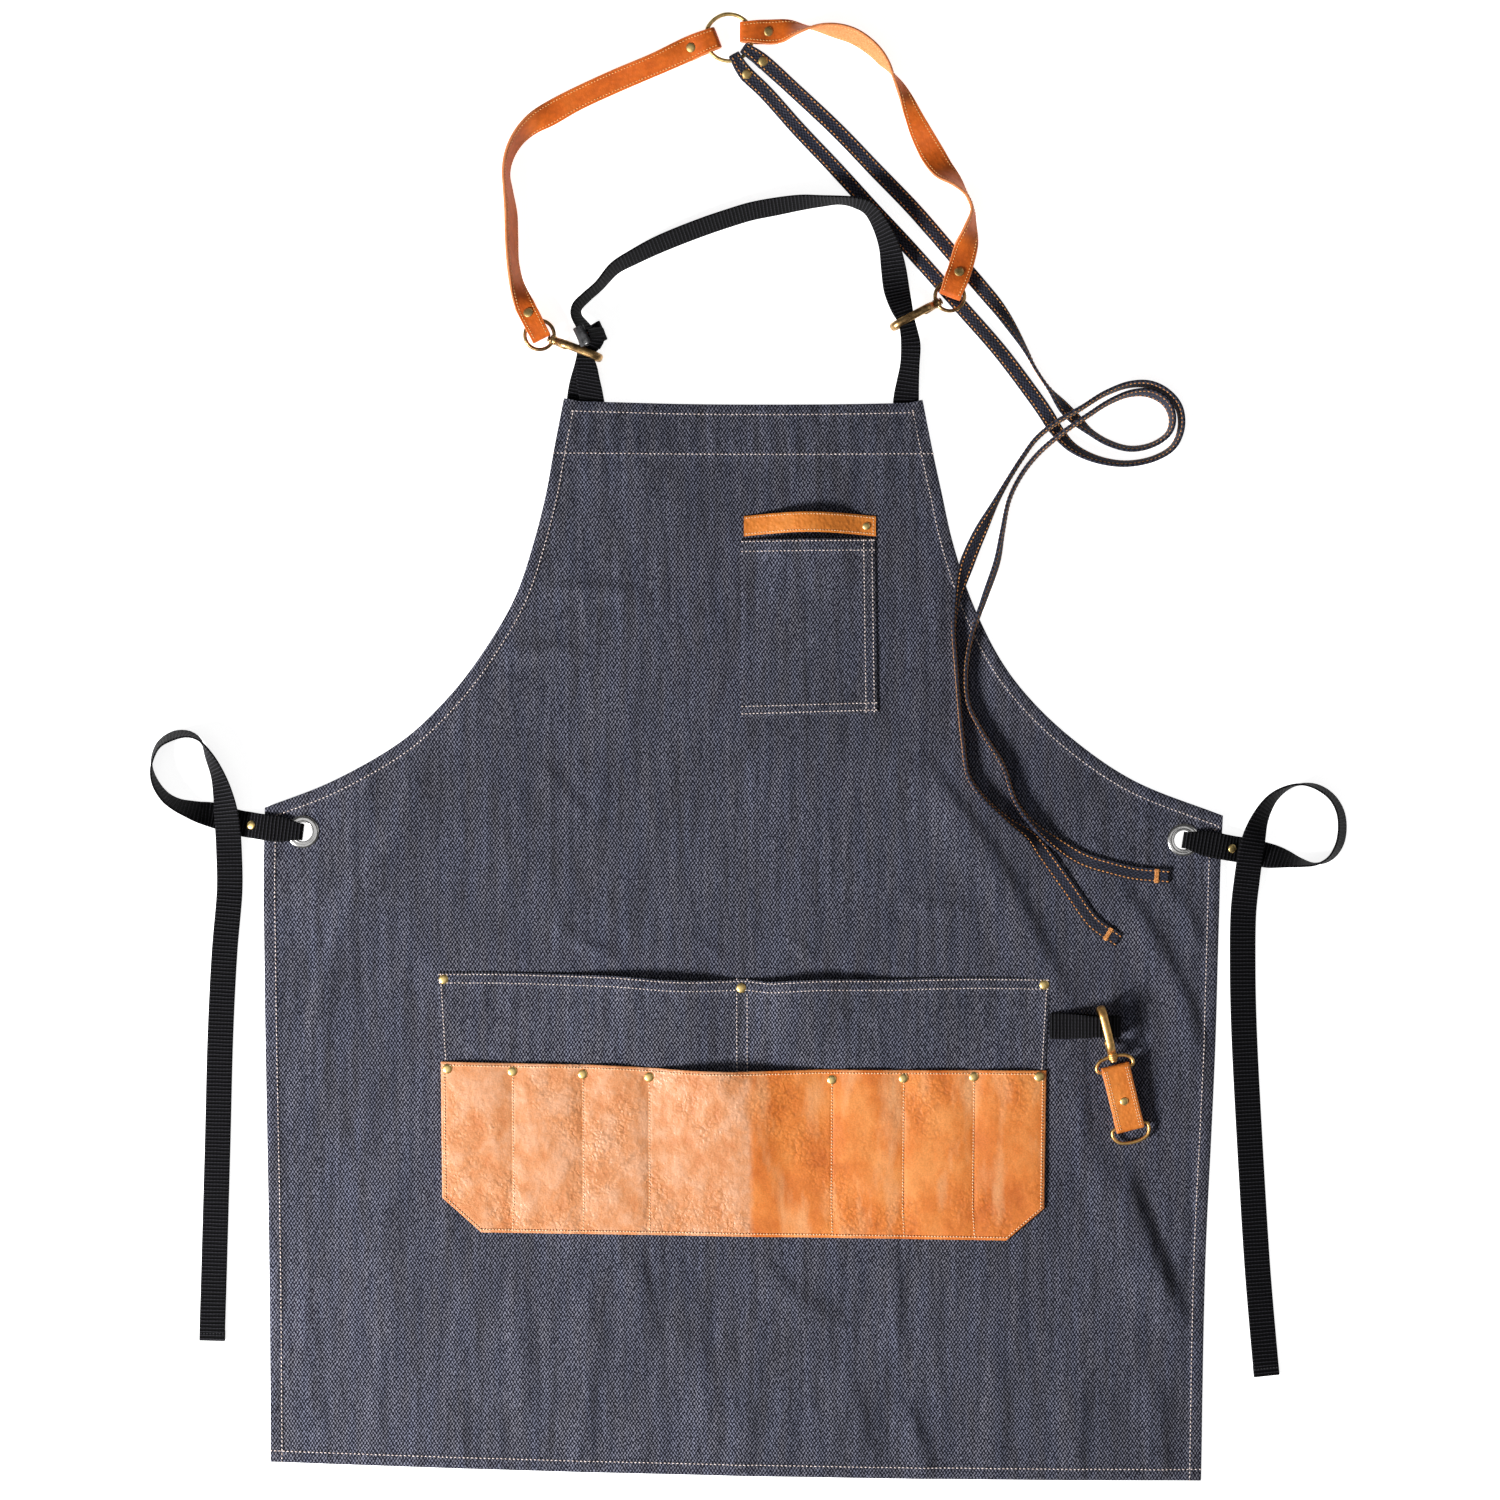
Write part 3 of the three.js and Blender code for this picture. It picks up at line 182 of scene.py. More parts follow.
def fold_height(x, y):
    total = np.zeros_like(x)
    for knots, height, left_slope, right_slope in FOLDS:
        path = spline(knots, np.linspace(0, len(knots) - 1, 16 * (len(knots) - 1) + 1))
        run = unit(np.gradient(path, axis=0))
        reach = max(left_slope, right_slope) + 2
        low, high = path.min(axis=0) - reach, path.max(axis=0) + reach
        near = (x > low[0]) & (x < high[0]) & (y > low[1]) & (y < high[1])
        away = np.stack([x[near], y[near]], axis=-1)[:, None] - path
        nearest = np.argmin(np.sum(away**2, axis=-1), axis=1)
        away, way = away[np.arange(len(nearest)), nearest], run[nearest]
        across = way[:, 0] * away[:, 1] - way[:, 1] * away[:, 0]
        beyond = np.sum(way * away, axis=-1)
        share = nearest / (len(path) - 1)
        ends = ease(share / 0.3) * ease((1 - share) / 0.3)
        slope = np.where(across > 0, left_slope, right_slope)
        total[near] += height * ends * fade(np.hypot(across, beyond) / slope, 0, 1)
    return total


def corner_lift(x, y):
    """The strap ends behind the bib's corners hold it up a little."""
    left_corner = LEFT_CORNER_LIFT * fade(x, *LEFT_CORNER_SPAN)
    right_corner = RIGHT_CORNER_LIFT * fade(-x, *RIGHT_CORNER_SPAN)
    return (left_corner + right_corner) * fade(BIB_TOP - y, FACING, FACING + 34)


def panel_height(x, y):
    """Height of the panel's underside over the floor."""
    x, y = np.asarray(x, float), np.asarray(y, float)
    lift, calm = corner_lift(x, y), 1.0
    for grommet_x, grommet_y in GROMMET_PLACES.values():
        away = np.hypot(x - grommet_x, y - grommet_y)
        lift = np.maximum(lift, GROMMET_LIFT * fade(away, 45, 110))
        calm = calm * (1 - fade(away, 20, 48))
    keeper_x = (x - KEEPER_REST[0]) / KEEPER_REST_SIZE[0]
    keeper_y = (y - KEEPER_REST[1]) / KEEPER_REST_SIZE[1]
    calm = calm * (1 - fade(np.hypot(keeper_x, keeper_y), 0.8, 1.6))
    slack = 0.5 + 0.5 * ripple(x, y, 120, 0.4) + 0.16 * ripple(x, y, 38, 1.1)
    return lift + calm * (fold_height(x, y) + np.maximum(slack, 0))


def grid_faces(rows, columns, coarse=False):
    """Faces of a closed sheet whose top grid is followed by its bottom grid. A coarse bottom has one face
    for four of the top's."""
    below = rows * columns
    top = np.arange(below).reshape(rows, columns)
    a, b, c, d = top[:-1, :-1], top[1:, :-1], top[1:, 1:], top[:-1, 1:]
    upper = np.stack([a, b, c, d], -1).reshape(-1, 4)
    faces = upper.tolist()
    if coarse:
        for i in range(0, rows - 1, 2):
            for j in range(0, columns - 1, 2):
                around = [(i, j), (i, j + 1), (i, j + 2), (i + 1, j + 2)]
                around += [(i + 2, j + 2), (i + 2, j + 1), (i + 2, j), (i + 1, j)]
                faces.append([
                    int(top[r, s]) + below for r, s in around
                    if (r % 2 == 0 and s % 2 == 0) or r in (0, rows - 1) or s in (0, columns - 1)
                ])
    else:
        faces += (upper[:, ::-1] + below).tolist()
    for first, second in (
        (top[:-1, 0], top[1:, 0]),
        (top[-1, :-1], top[-1, 1:]),
        (top[1:, -1], top[:-1, -1]),
        (top[0, 1:], top[0, :-1]),
    ):
        faces += np.stack([second, first, first + below, second + below], -1).tolist()
    return faces


def put_in_scene(name, data):
    """A new object of this data, in the scene."""
    made = bpy.data.objects.new(name, data)
    bpy.context.scene.collection.objects.link(made)
    return made


def make_piece(name, points, faces, materials, slots=None, uv=None, sharp=42):
    """A mesh object at the origin with its place in its mesh, from millimetres."""
    mesh = bpy.data.meshes.new(name)
    placed = (np.asarray(points, float) + LAY_SHIFT) * MM
    mesh.from_pydata(placed.tolist(), [], [[int(v) for v in face] for face in faces])
    for material in materials:
        mesh.materials.append(material)
    if slots is not None:
        mesh.polygons.foreach_set("material_index", np.asarray(slots, np.int32))
    mesh.polygons.foreach_set("use_smooth", np.ones(len(mesh.polygons), bool))
    mesh.set_sharp_from_angle(angle=math.radians(sharp))
    if uv is not None:
        corners = np.zeros(len(mesh.loops), np.int32)
        mesh.loops.foreach_get("vertex_index", corners)
        layer = mesh.uv_layers.new(name="cloth")
        layer.data.foreach_set("uv", (np.asarray(uv, float)[corners] * MM).astype(np.float32).ravel())
    mesh.update()
    return put_in_scene(name, mesh)


def make_sheet(name, top, low, material, coarse=False):
    """A closed sheet from its top and bottom grids."""
    points = np.vstack([top.reshape(-1, 3), low.reshape(-1, 3)])
    faces = grid_faces(*top.shape[:2], coarse)
    used, flat = np.unique(np.concatenate(faces), return_inverse=True)
    ends = np.cumsum([len(face) for face in faces])[:-1]
    return make_piece(name, points[used], np.split(flat, ends), [material])


def fit(piece, slot, *nodes, body="apron"):
    """The piece rides on its body and stands for its solids. Its slot is not used."""
    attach(piece, body)
    if nodes:
        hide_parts(*nodes)


def feed(tree, node, inputs):
    """Sets a node's inputs to values, or links them to sockets."""
    for key, value in inputs.items():
        if isinstance(value, bpy.types.NodeSocket):
            tree.links.new(value, node.inputs[key])
        else:
            node.inputs[key].default_value = value


def put(tree, kind, inputs=None, **settings):
    """A node with its settings and its inputs."""
    made = tree.nodes.new(kind)
    for key, value in settings.items():
        setattr(made, key, value)
    feed(tree, made, inputs or {})
    return made


def shader(name, coords_from="Object"):
    """A new material, its nodes, its surface, and the coordinates that its patterns follow."""
    material = bpy.data.materials.new(name)
    material.use_nodes = True
    tree = material.node_tree
    coords = put(tree, "ShaderNodeTexCoord").outputs[coords_from]
    return material, tree, tree.nodes["Principled BSDF"], coords


def noise(tree, coords, per_metre, detail=2.0, rough=0.5):
    """Noise stretched along the axes, with this many features in a metre along each."""
    spread = put(tree, "ShaderNodeMapping", {"Vector": coords, "Scale": per_metre})
    inputs = {"Vector": spread.outputs[0], "Scale": 1.0, "Detail": detail, "Roughness": rough}
    return put(tree, "ShaderNodeTexNoise", inputs).outputs["Fac"]


def ramp(tree, factor, *stops):
    """Colours, or greys, at positions of a factor."""
    made = put(tree, "ShaderNodeValToRGB", {"Fac": factor})
    elements = made.color_ramp.elements
    while len(elements) < len(stops):
        elements.new(0.5)
    for element, (position, colour) in zip(elements, stops):
        element.position = position
        element.color = (*colour, 1.0) if isinstance(colour, tuple) else (colour, colour, colour, 1.0)
    return made.outputs["Color"]


def sums(tree, *parts):
    """A weighted sum of sockets: pairs of socket and weight."""
    total = None
    for socket, weight in parts:
        if total is None:
            total = put(tree, "ShaderNodeMath", {0: socket, 1: weight}, operation="MULTIPLY").outputs[0]
        else:
            inputs = {0: socket, 1: weight, 2: total}
            total = put(tree, "ShaderNodeMath", inputs, operation="MULTIPLY_ADD").outputs[0]
    return total


def times(tree, *colours):
    """Colours multiplied together."""
    total = colours[0]
    for colour in colours[1:]:
        inputs = {0: 1.0, 6: total, 7: colour}
        total = put(tree, "ShaderNodeMix", inputs, data_type="RGBA", blend_type="MULTIPLY").outputs[2]
    return total


def bumped(tree, surface, height, depth, strength=1.0):
    bump = put(tree, "ShaderNodeBump", {"Height": height, "Strength": strength, "Distance": depth})
    feed(tree, surface, {"Normal": bump.outputs[0]})


def denim_finish(name, dark, mid, light, shift=0.0, coords_from="Object"):
    """Twill of dark warp and pale weft: a lattice of specks, upright slubs, and soft changes of tone."""
    material, tree, surface, coords = shader(name, coords_from)
    coords = put(tree, "ShaderNodeMapping", {"Vector": coords, "Location": (shift, shift, 0.0)}).outputs[0]
    twills = []
    for lean in (1, -1):
        slant = {"Vector": coords, "Scale": (258, 172 * lean, 0)}
        spread = put(tree, "ShaderNodeMapping", slant).outputs[0]
        inputs = {"Vector": spread, "Scale": 1.0, "Distortion": 2.4, "Detail": 1.0, "Detail Scale": 1.1}
        twills.append(put(tree, "ShaderNodeTexWave", inputs, bands_direction="DIAGONAL").outputs["Fac"])
    specks = noise(tree, coords, (820, 640, 600), 1.0, 0.7)
    weave = sums(tree, (twills[0], 0.25), (twills[1], 0.25), (specks, 0.5))
    thread = ramp(tree, weave, (0.34, dark), (0.49, mid), (0.66, light))
    slub = ramp(tree, noise(tree, coords, (150, 13, 10), 3.0, 0.65), (0.34, 0.70), (0.66, 1.26))
    hue = noise(tree, coords, (105, 17, 10), 3.0, 0.6)
    tint = ramp(tree, hue, (0.36, (1.03, 1.0, 0.96)), (0.64, (0.96, 0.99, 1.07)))
    cloud = ramp(tree, noise(tree, coords, (9, 6, 5), 3.0), (0.3, 0.88), (0.7, 1.1))
    bumped(tree, surface, weave, 0.0004, 0.35)
    feed(tree, surface, {"Base Color": times(tree, thread, slub, tint, cloud), "Roughness": 0.92})
    feed(tree, surface, {"Specular IOR Level": 0.2, "Sheen Weight": 0.08})
    return material


DENIM_DARK = (0.0030, 0.0034, 0.0082)
DENIM_MID = (0.0170, 0.0178, 0.0310)
DENIM_LIGHT = (0.182, 0.184, 0.228)
panel_denim = denim_finish("panel_denim", DENIM_DARK, DENIM_MID, DENIM_LIGHT)

CORNER_SKIP = 0.36
INNER_COLUMNS = 227
HEM_INSETS = np.array([0, 0.7, 2.5, 5, 7.4, 8.5, 9.4, HEM_WIDTH + HEM_STEP])
STITCH_INSET = 8.5
FAR_INSIDE = 99.0
arm_rows = np.linspace(0, len(ARMHOLE) - 1, 118)
skirt_rows = np.concatenate([
    np.linspace(CORNER_SKIP, 1, 11)[:-1], np.linspace(1, 4, 133), np.linspace(4.2, 5, 6),
])
edge_pairs = zip(edge_rows(ARMHOLE, arm_rows), edge_rows(SKIRT, skirt_rows))
panel_edges = [np.vstack(pair) for pair in edge_pairs]


def bowed(plan, left, right):
    """The bib's top and the hem sag a little between the corners."""
    share = (plan[..., 0] - left[..., 0]) / (right[..., 0] - left[..., 0])
    bow = 4 * share * (1 - share)
    sag = BIB_SAG * fade(BIB_TOP - left[..., 1], 0, BIB_SAG_REACH)
    sag = sag + HEM_SAG * fade(left[..., 1] - SKIRT[-1, 1], 0, 200)
    plan[..., 1] -= bow * sag
    return plan


def hem_thickness(inset):
    """Two layers in the turned hem, drawn in along its stitches, and one layer inside it."""
    drop = (HEM - DENIM) * ease((inset - STITCH_INSET) / 2.0)
    rounding = 0.8 * (1 - ease(inset / 1.6))
    pull = 0.35 * fade(abs(inset - STITCH_INSET), 0, 2.2)
    return HEM - drop - rounding - pull


def panel_sheet():
    left, left_in, right, right_in = panel_edges
    shares = np.linspace(0, 1, INNER_COLUMNS)[None, :, None]
    inner_left = (left + left_in * HEM_INSETS[-1])[:, None]
    inner_right = (right + right_in * HEM_INSETS[-1])[:, None]
    outer = HEM_INSETS[:-1][None, :, None]
    plan = np.hstack([
        left[:, None] + left_in[:, None] * outer,
        inner_left + (inner_right - inner_left) * shares,
        right[:, None] + right_in[:, None] * outer[:, ::-1],
    ])
    plan = bowed(plan, left[:, None], right[:, None])
    side = np.full(plan.shape[1], FAR_INSIDE)
    side[: len(HEM_INSETS)] = HEM_INSETS
    side[-len(HEM_INSETS):] = HEM_INSETS[::-1]
    down = (BIB_TOP - left[:, 1])[:, None]
    up = (left[:, 1] - SKIRT[-1, 1])[:, None]
    thickness = hem_thickness(np.minimum(side[None, :], up))
    facing = HEM - 0.8 * (1 - ease(down / 2.5)) - 0.3 * fade(abs(down - TOP_SEAM), 0, 3)
    faced = fade(down, FACING - 4, FACING)
    thickness = np.maximum(thickness, facing * faced + thickness * (1 - faced))
    across, along = plan[..., 0], plan[..., 1]
    from_seam = abs(down - FACING_SEAM)
    facing_pull = fade(from_seam, 2, 14) * ease((from_seam - 0.8) / 3)
    puckers = 0.3 * np.sin(across / 2.6 + 2.0 * np.sin(across / 17.0)) * facing_pull
    between = fade(abs(down - (TOP_SEAM + FACING_SEAM) / 2), 3, 17)
    puckers = puckers + 0.45 * (np.sin(across / 2.7 + 1.6 * np.sin(across / 19.0)) - 0.2) * between
    hem_pull = fade(abs(side - 13), 1, 14) * ease((abs(side - STITCH_INSET) - 0.5) / 2)
    puckers = puckers + 0.22 * np.sin(along / 2.4 + np.sin(along / 11.0)) * hem_pull[None]
    low = panel_height(plan[..., 0], plan[..., 1])
    top = low + thickness + np.maximum(puckers, -0.3)
    sunk = np.copy(low)
    for shift in ((0, 1), (0, -1), (1, 0), (-1, 0)):
        sunk[1:-1, 1:-1] = np.minimum(sunk[1:-1, 1:-1], np.roll(low, shift, (0, 1))[1:-1, 1:-1])
    return np.dstack([plan, top]), np.dstack([plan, sunk])


def punched(piece, cutters):
    """The piece with the cutters' shapes taken out of it."""
    for cutter in cutters:
        hole = piece.modifiers.new("hole", "BOOLEAN")
        hole.operation = "DIFFERENCE"
        hole.object = cutter
    evaluated = piece.evaluated_get(bpy.context.evaluated_depsgraph_get())
    piece.data, old = bpy.data.meshes.new_from_object(evaluated), piece.data
    piece.modifiers.clear()
    bpy.data.meshes.remove(old)
    for cutter in cutters:
        bpy.data.objects.remove(cutter)


def lathe(profile, centre, axis=(0, 0, 1), sides=32):
    """Points and faces of a closed turned shape. The profile is radius and height pairs, and either
    runs from axis to axis or comes back to its start."""
    if sum((b[0] + a[0]) * (b[1] - a[1]) for a, b in zip(profile, profile[1:])) > 0:
        profile = profile[::-1]
    axis = np.asarray(axis, float)
    across = unit(np.cross(axis, (0.3, 1.0, 0.2)))
    other = np.cross(axis, across)
    turns = np.linspace(0, 2 * np.pi, sides, endpoint=False)
    ring = np.cos(turns)[:, None] * across + np.sin(turns)[:, None] * other
    points, rings = [], []
    for radius, height in profile:
        start = len(points)
        if radius < 1e-6:
            points.append(np.asarray(centre) + axis * height)
            rings.append([start] * sides)
        else:
            points += list(np.asarray(centre) + axis * height + ring * radius)
            rings.append(list(range(start, start + sides)))
    if profile[0] == profile[-1]:
        points = points[: rings[-1][0]]
        rings[-1] = rings[0]
    faces = []
    for upper, lower in zip(rings, rings[1:]):
        for k in range(sides):
            corners = [upper[k], lower[k], lower[(k + 1) % sides], upper[(k + 1) % sides]]
            faces.append(list(dict.fromkeys(corners)))
    return np.array(points), faces


panel = make_sheet("denim_panel", *panel_sheet(), panel_denim, coarse=True)
cutters = []
for grommet_x, grommet_y in GROMMET_PLACES.values():
    drill = [(0, 30), (PANEL_HOLE, 30), (PANEL_HOLE, -5), (0, -5)]
    cutters.append(make_piece("drill", *lathe(drill, (grommet_x, grommet_y, 0)), []))
punched(panel, cutters)
fit(panel, "denim", "apron_panel")


# Hem stitching: one row of thick cream thread all round the panel, a second row where the facing
# ends behind the bib, and every row runs on to the cloth's edge where it meets another.
# A stitch is given as its pitch, its length and its width.
HEM_STITCH = (3.1, 2.3, 1.05)
HEM_SINK = 0.2


def new_tree(name, **kinds):
    """A node tree that takes a geometry and named inputs, and gives one geometry."""
    tree = bpy.data.node_groups.new(name, "GeometryNodeTree")
    keys = {}
    for socket, kind in {"Geometry": "Geometry", **kinds}.items():
        made = tree.interface.new_socket(name=socket, in_out="INPUT", socket_type=f"NodeSocket{kind}")
        keys[socket] = made.identifier
    tree.interface.new_socket(name="Geometry", in_out="OUTPUT", socket_type="NodeSocketGeometry")
    return tree, keys, put(tree, "NodeGroupInput").outputs


def finished(tree, instances, finish):
    """The tree's end: its instances made real and given their finish."""
    real = put(tree, "GeometryNodeRealizeInstances", {"Geometry": instances}).outputs[0]
    done = put(tree, "GeometryNodeSetMaterial", {"Geometry": real, "Material": finish}).outputs[0]
    put(tree, "NodeGroupOutput", {"Geometry": done})


def stitch_tree():
    """Threads laid end to end along every edge chain of a mesh."""
    tree, keys, given = new_tree("lockstitch", Pitch="Float", Thread="Vector", Finish="Material")
    chain = put(tree, "GeometryNodeMeshToCurve", {"Mesh": given["Geometry"]}).outputs[0]
    spacing = {"Curve": chain, "Length": given["Pitch"]}
    spaced = put(tree, "GeometryNodeResampleCurve", spacing, mode="LENGTH").outputs[0]
    along = put(tree, "GeometryNodeInputTangent").outputs[0]
    turn = put(tree, "FunctionNodeAlignRotationToVector", {"Vector": along}, axis="X").outputs[0]
    thread = put(tree, "GeometryNodeMeshIcoSphere", {"Radius": 1.0, "Subdivisions": 1}).outputs["Mesh"]
    smooth = put(tree, "GeometryNodeSetShadeSmooth", {"Geometry": thread}).outputs[0]
    inputs = {"Points": spaced, "Instance": smooth, "Rotation": turn, "Scale": given["Thread"]}
    laid = put(tree, "GeometryNodeInstanceOnPoints", inputs).outputs[0]
    finished(tree, laid, given["Finish"])
    return tree, keys


lockstitch, stitch_keys = stitch_tree()


def grown_by(piece, tree, keys, values):
    """Runs a node tree on the piece once and keeps the mesh that it makes."""
    grow = piece.modifiers.new("grow", "NODES")
    grow.node_group = tree
    for name, value in values.items():
        grow[keys[name]] = value
    evaluated = piece.evaluated_get(bpy.context.evaluated_depsgraph_get())
    piece.data = bpy.data.meshes.new_from_object(evaluated)
    piece.modifiers.clear()


def stitched(name, paths, stitch, finish):
    """Stitches along paths of points in millimetres, as one piece."""
    pitch, length, width = stitch
    points, edges = [], []
    for path in paths:
        start = len(points)
        points += list(path)
        edges += [(k, k + 1) for k in range(start, len(points) - 1)]
    mesh = bpy.data.meshes.new(name)
    mesh.from_pydata(((np.array(points) + LAY_SHIFT) * MM).tolist(), edges, [])
    piece = put_in_scene(name, mesh)
    size = (length / 2 * MM, width / 2 * MM, width / 2 * MM)
    grown_by(piece, lockstitch, stitch_keys, {"Pitch": pitch * MM, "Thread": size, "Finish": finish})
    return piece


def thread_finish(name, pale, dark):
    """Twisted sewing thread, a little darker here and there at random."""
    material, tree, surface, coords = shader(name)
    twist = noise(tree, coords, (700, 700, 700), 2.0)
    feed(tree, surface, {"Base Color": ramp(tree, twist, (0.35, dark), (0.6, pale)), "Roughness": 0.7})
    return material


cream_thread = thread_finish("cream_thread", (0.92, 0.79, 0.73), (0.50, 0.39, 0.35))


def on_panel(x, y, rise):
    return np.stack([x, y, panel_height(x, y) + rise], axis=-1)


def panel_rows():
    left, left_in, right, right_in = (np.array(part) for part in panel_edges)
    rows = []
    for edge, inward in ((left, left_in), (right, right_in)):
        plan = bowed(edge + inward * STITCH_INSET, left, right)
        keep = plan[:, 1] < BIB_TOP - TOP_SEAM + 0.5
        rows.append(on_panel(plan[keep, 0], plan[keep, 1], HEM - HEM_SINK))
    share = np.linspace(0, 1, 160)
    for inset, ends in ((TOP_SEAM, STITCH_INSET), (FACING_SEAM, 0.5)):
        height = BIB_TOP - inset
        row = int(np.argmin(abs(left[:, 1] - height)))
        x = left[row, 0] + ends + (right[row, 0] - left[row, 0] - 2 * ends) * share
        plan = np.stack([x, np.full_like(x, height)], axis=1)
        slant = (right[0, 1] - left[0, 1]) * share * fade(inset, TOP_SEAM, BIB_SAG_REACH)
        plan[:, 1] += slant - BIB_SAG * 4 * share * (1 - share) * fade(inset, 0, BIB_SAG_REACH)
        rows.append(on_panel(plan[:, 0], plan[:, 1], HEM - 0.05))
    x = SKIRT[-1, 0] + 0.5 + (SKIRT[-1, 2] - SKIRT[-1, 0] - 1) * share
    y = SKIRT[-1, 1] + (SKIRT[-1, 3] - SKIRT[-1, 1]) * share
    y = y + STITCH_INSET - HEM_SAG * 4 * share * (1 - share)
    rows.append(on_panel(x, y, HEM - HEM_SINK))
    return rows


hem_stitches = stitched("hem_stitches", panel_rows(), HEM_STITCH, cream_thread)
fit(hem_stitches, "denim")


# Chest pocket: a denim patch with turned edges, sewn to the bib by double rows on its right and bottom,
# plain at its left edge, and double-stitched along its mouth, which stands a little open.
CHEST = np.array([[-5, 154, 94, 155], [-5, 90, 95, 91], [-5, 23, 96, 26]], float)
CHEST_LEFT = -5
CHEST_WIDTH = 100
CHEST_MOUTH = 154.5
CHEST_GAPE = 5.0
CHEST_DEPTH = 130.0
CHEST_SEAM_ROWS = (0.022, 0.135, 1.885, 1.966)
CHEST_SEAM_SHARES = (0.915, 0.976)
POCKET_GAP = 0.12
PATCH_RISE = 1.75
PATCH_STITCH = (2.8, 2.1, 1.05)
# The pockets' denim is the panel's made a little lighter in its mid and pale tones: painted light on the
# raised pocket cloth.
PATCH_MID = (0.0185, 0.0193, 0.0330)
PATCH_LIGHT = (0.196, 0.198, 0.243)


def arch(share):
    return np.sin(np.pi * np.clip(share, 0, 1)) ** 1.6


def decay(depth, reach):
    return np.maximum(0, 1 - np.maximum(depth, 0) / reach) ** 1.5


def chest_under(x, y):
    share = (x - CHEST_LEFT) / CHEST_WIDTH
    gape = CHEST_GAPE * arch(share) * decay(CHEST_MOUTH - y, CHEST_DEPTH)
    soft = 0.35 * np.maximum(0, ripple(x, y, 40, 2.0)) * arch(share)
    return panel_height(x, y) + DENIM + POCKET_GAP + gape + soft


def patch_sides(rows, where):
    """Points of a patch's left and right edges, which run straight from corner to corner."""
    corners = np.arange(len(rows))
    left_x, left_y, right_x, right_y = (np.interp(where, corners, column) for column in rows.T)
    return np.column_stack([left_x, left_y]), np.column_stack([right_x, right_y])


def sagged(plan, sag, down):
    """The plan with its mouth sagging as pairs of x and drop say, less and less further down."""
    if len(sag):
        places, drops = np.array(sag, float).T
        plan[..., 1] -= np.interp(plan[..., 0], places, drops) * fade(down, 0, 1)
    return plan


def patch_plan(rows, where, shares, sag):
    """Plan points of a patch between the straight sides of a table."""
    left, right = patch_sides(rows, where)
    plan = left[:, None] + (right - left)[:, None] * shares[None, :, None]
    return sagged(plan, sag, (where / where[-1])[:, None])


def patch_sheet(name, rows, where, shares, sag, under, thickness, material):
    """A sewn patch: thickness is given the distances from its mouth, its sides and its bottom."""
    plan = patch_plan(rows, where, shares, sag)
    low = under(plan[..., 0], plan[..., 1])
    mouth = plan[0, None, :, 1] - plan[..., 1]
    sides = np.minimum(plan[..., 0] - plan[:, :1, 0], plan[:, -1:, 0] - plan[..., 0])
    bottom = plan[..., 1] - plan[-1, None, :, 1]
    top = low + thickness(mouth, sides, bottom)
    return make_sheet(name, np.dstack([plan, top]), np.dstack([plan, low]), material)


def turned_edges(mouth, sides, bottom):
    """Thickness of a patch with turned edges: rounded at its rim, stepped in inside its seams."""
    edge = np.minimum(np.minimum(mouth * 0.9, sides), bottom)
    rim = 0.7 * (1 - ease(edge / 1.2))
    return 1.9 - 0.8 * ease((edge - 8.2) / 2.4) - rim - 0.25 * fade(abs(edge - 2.2), 0, 1.4)


def rim_rows(count, rim, length):
    """Row numbers or shares that are close together at both ends, where the rim is."""
    inner = np.linspace(rim, 1 - rim, count)
    ends = rim * np.array([0, 0.07, 0.2, 0.4, 0.7])
    return length * np.concatenate([ends, inner, 1 - ends[::-1]])


chest_rows = rim_rows(46, 0.075, 2)
chest_shares = rim_rows(40, 0.085, 1)
patch_denim = denim_finish("patch_denim", DENIM_DARK, PATCH_MID, PATCH_LIGHT, shift=0.37)
chest = patch_sheet(
    "chest_patch", CHEST, chest_rows, chest_shares, (), chest_under, turned_edges, patch_denim,
)
fit(chest, "denim", "chest_pocket")


def patch_row(rows, where, shares, sag, under, rise):
    """A stitch row at matching row numbers and shares of a patch."""
    where, shares = np.broadcast_arrays(np.asarray(where, float), np.asarray(shares, float))
    left, right = patch_sides(rows, where)
    plan = sagged(left + (right - left) * shares[:, None], sag, where / (len(rows) - 1))
    return np.column_stack([plan, under(plan[:, 0], plan[:, 1]) + rise])


def across_patch(rows, where, first, last, sag, under, rise):
    shares = np.linspace(first, last, 90)
    return patch_row(rows, np.full_like(shares, where), shares, sag, under, rise)


def down_patch(rows, first, last, share, sag, under, rise):
    where = np.linspace(first, last, 70)
    return patch_row(rows, where, np.full_like(where, share), sag, under, rise)


chest_seams = []
for row in CHEST_SEAM_ROWS:
    chest_seams.append(across_patch(CHEST, row, 0.01, 0.99, (), chest_under, PATCH_RISE))
for share in CHEST_SEAM_SHARES:
    chest_seams.append(down_patch(CHEST, 0.02, 1.98, share, (), chest_under, PATCH_RISE))
chest_stitches = stitched("chest_stitches", chest_seams, PATCH_STITCH, cream_thread)
fit(chest_stitches, "denim")


# Pen band: a strip of tan leather sewn down at both ends above the chest pocket and riveted at the right.
# It arches off the bib, so that a pen or a comb slides behind it.
BAND_LEFT = -3.0
BAND_RIGHT = 94.5
BAND_HALF = 7.5
BAND_ARCH = 8.0
BAND_BOW = 3.0
BAND_MIDDLE = 164.0
BAND_SEAM = 1.6
BAND_STITCH = (2.2, 1.6, 0.8)
BAND_RIVET = (87.5, 164.0)
BAND_TAN = ((0.56, 0.150, 0.018), (0.72, 0.215, 0.030), (0.84, 0.31, 0.070))
POCKET_LEATHER = 1.6
CAP = 3.75
SMALL_CAP = 3.0
CAP_SINK = 0.15


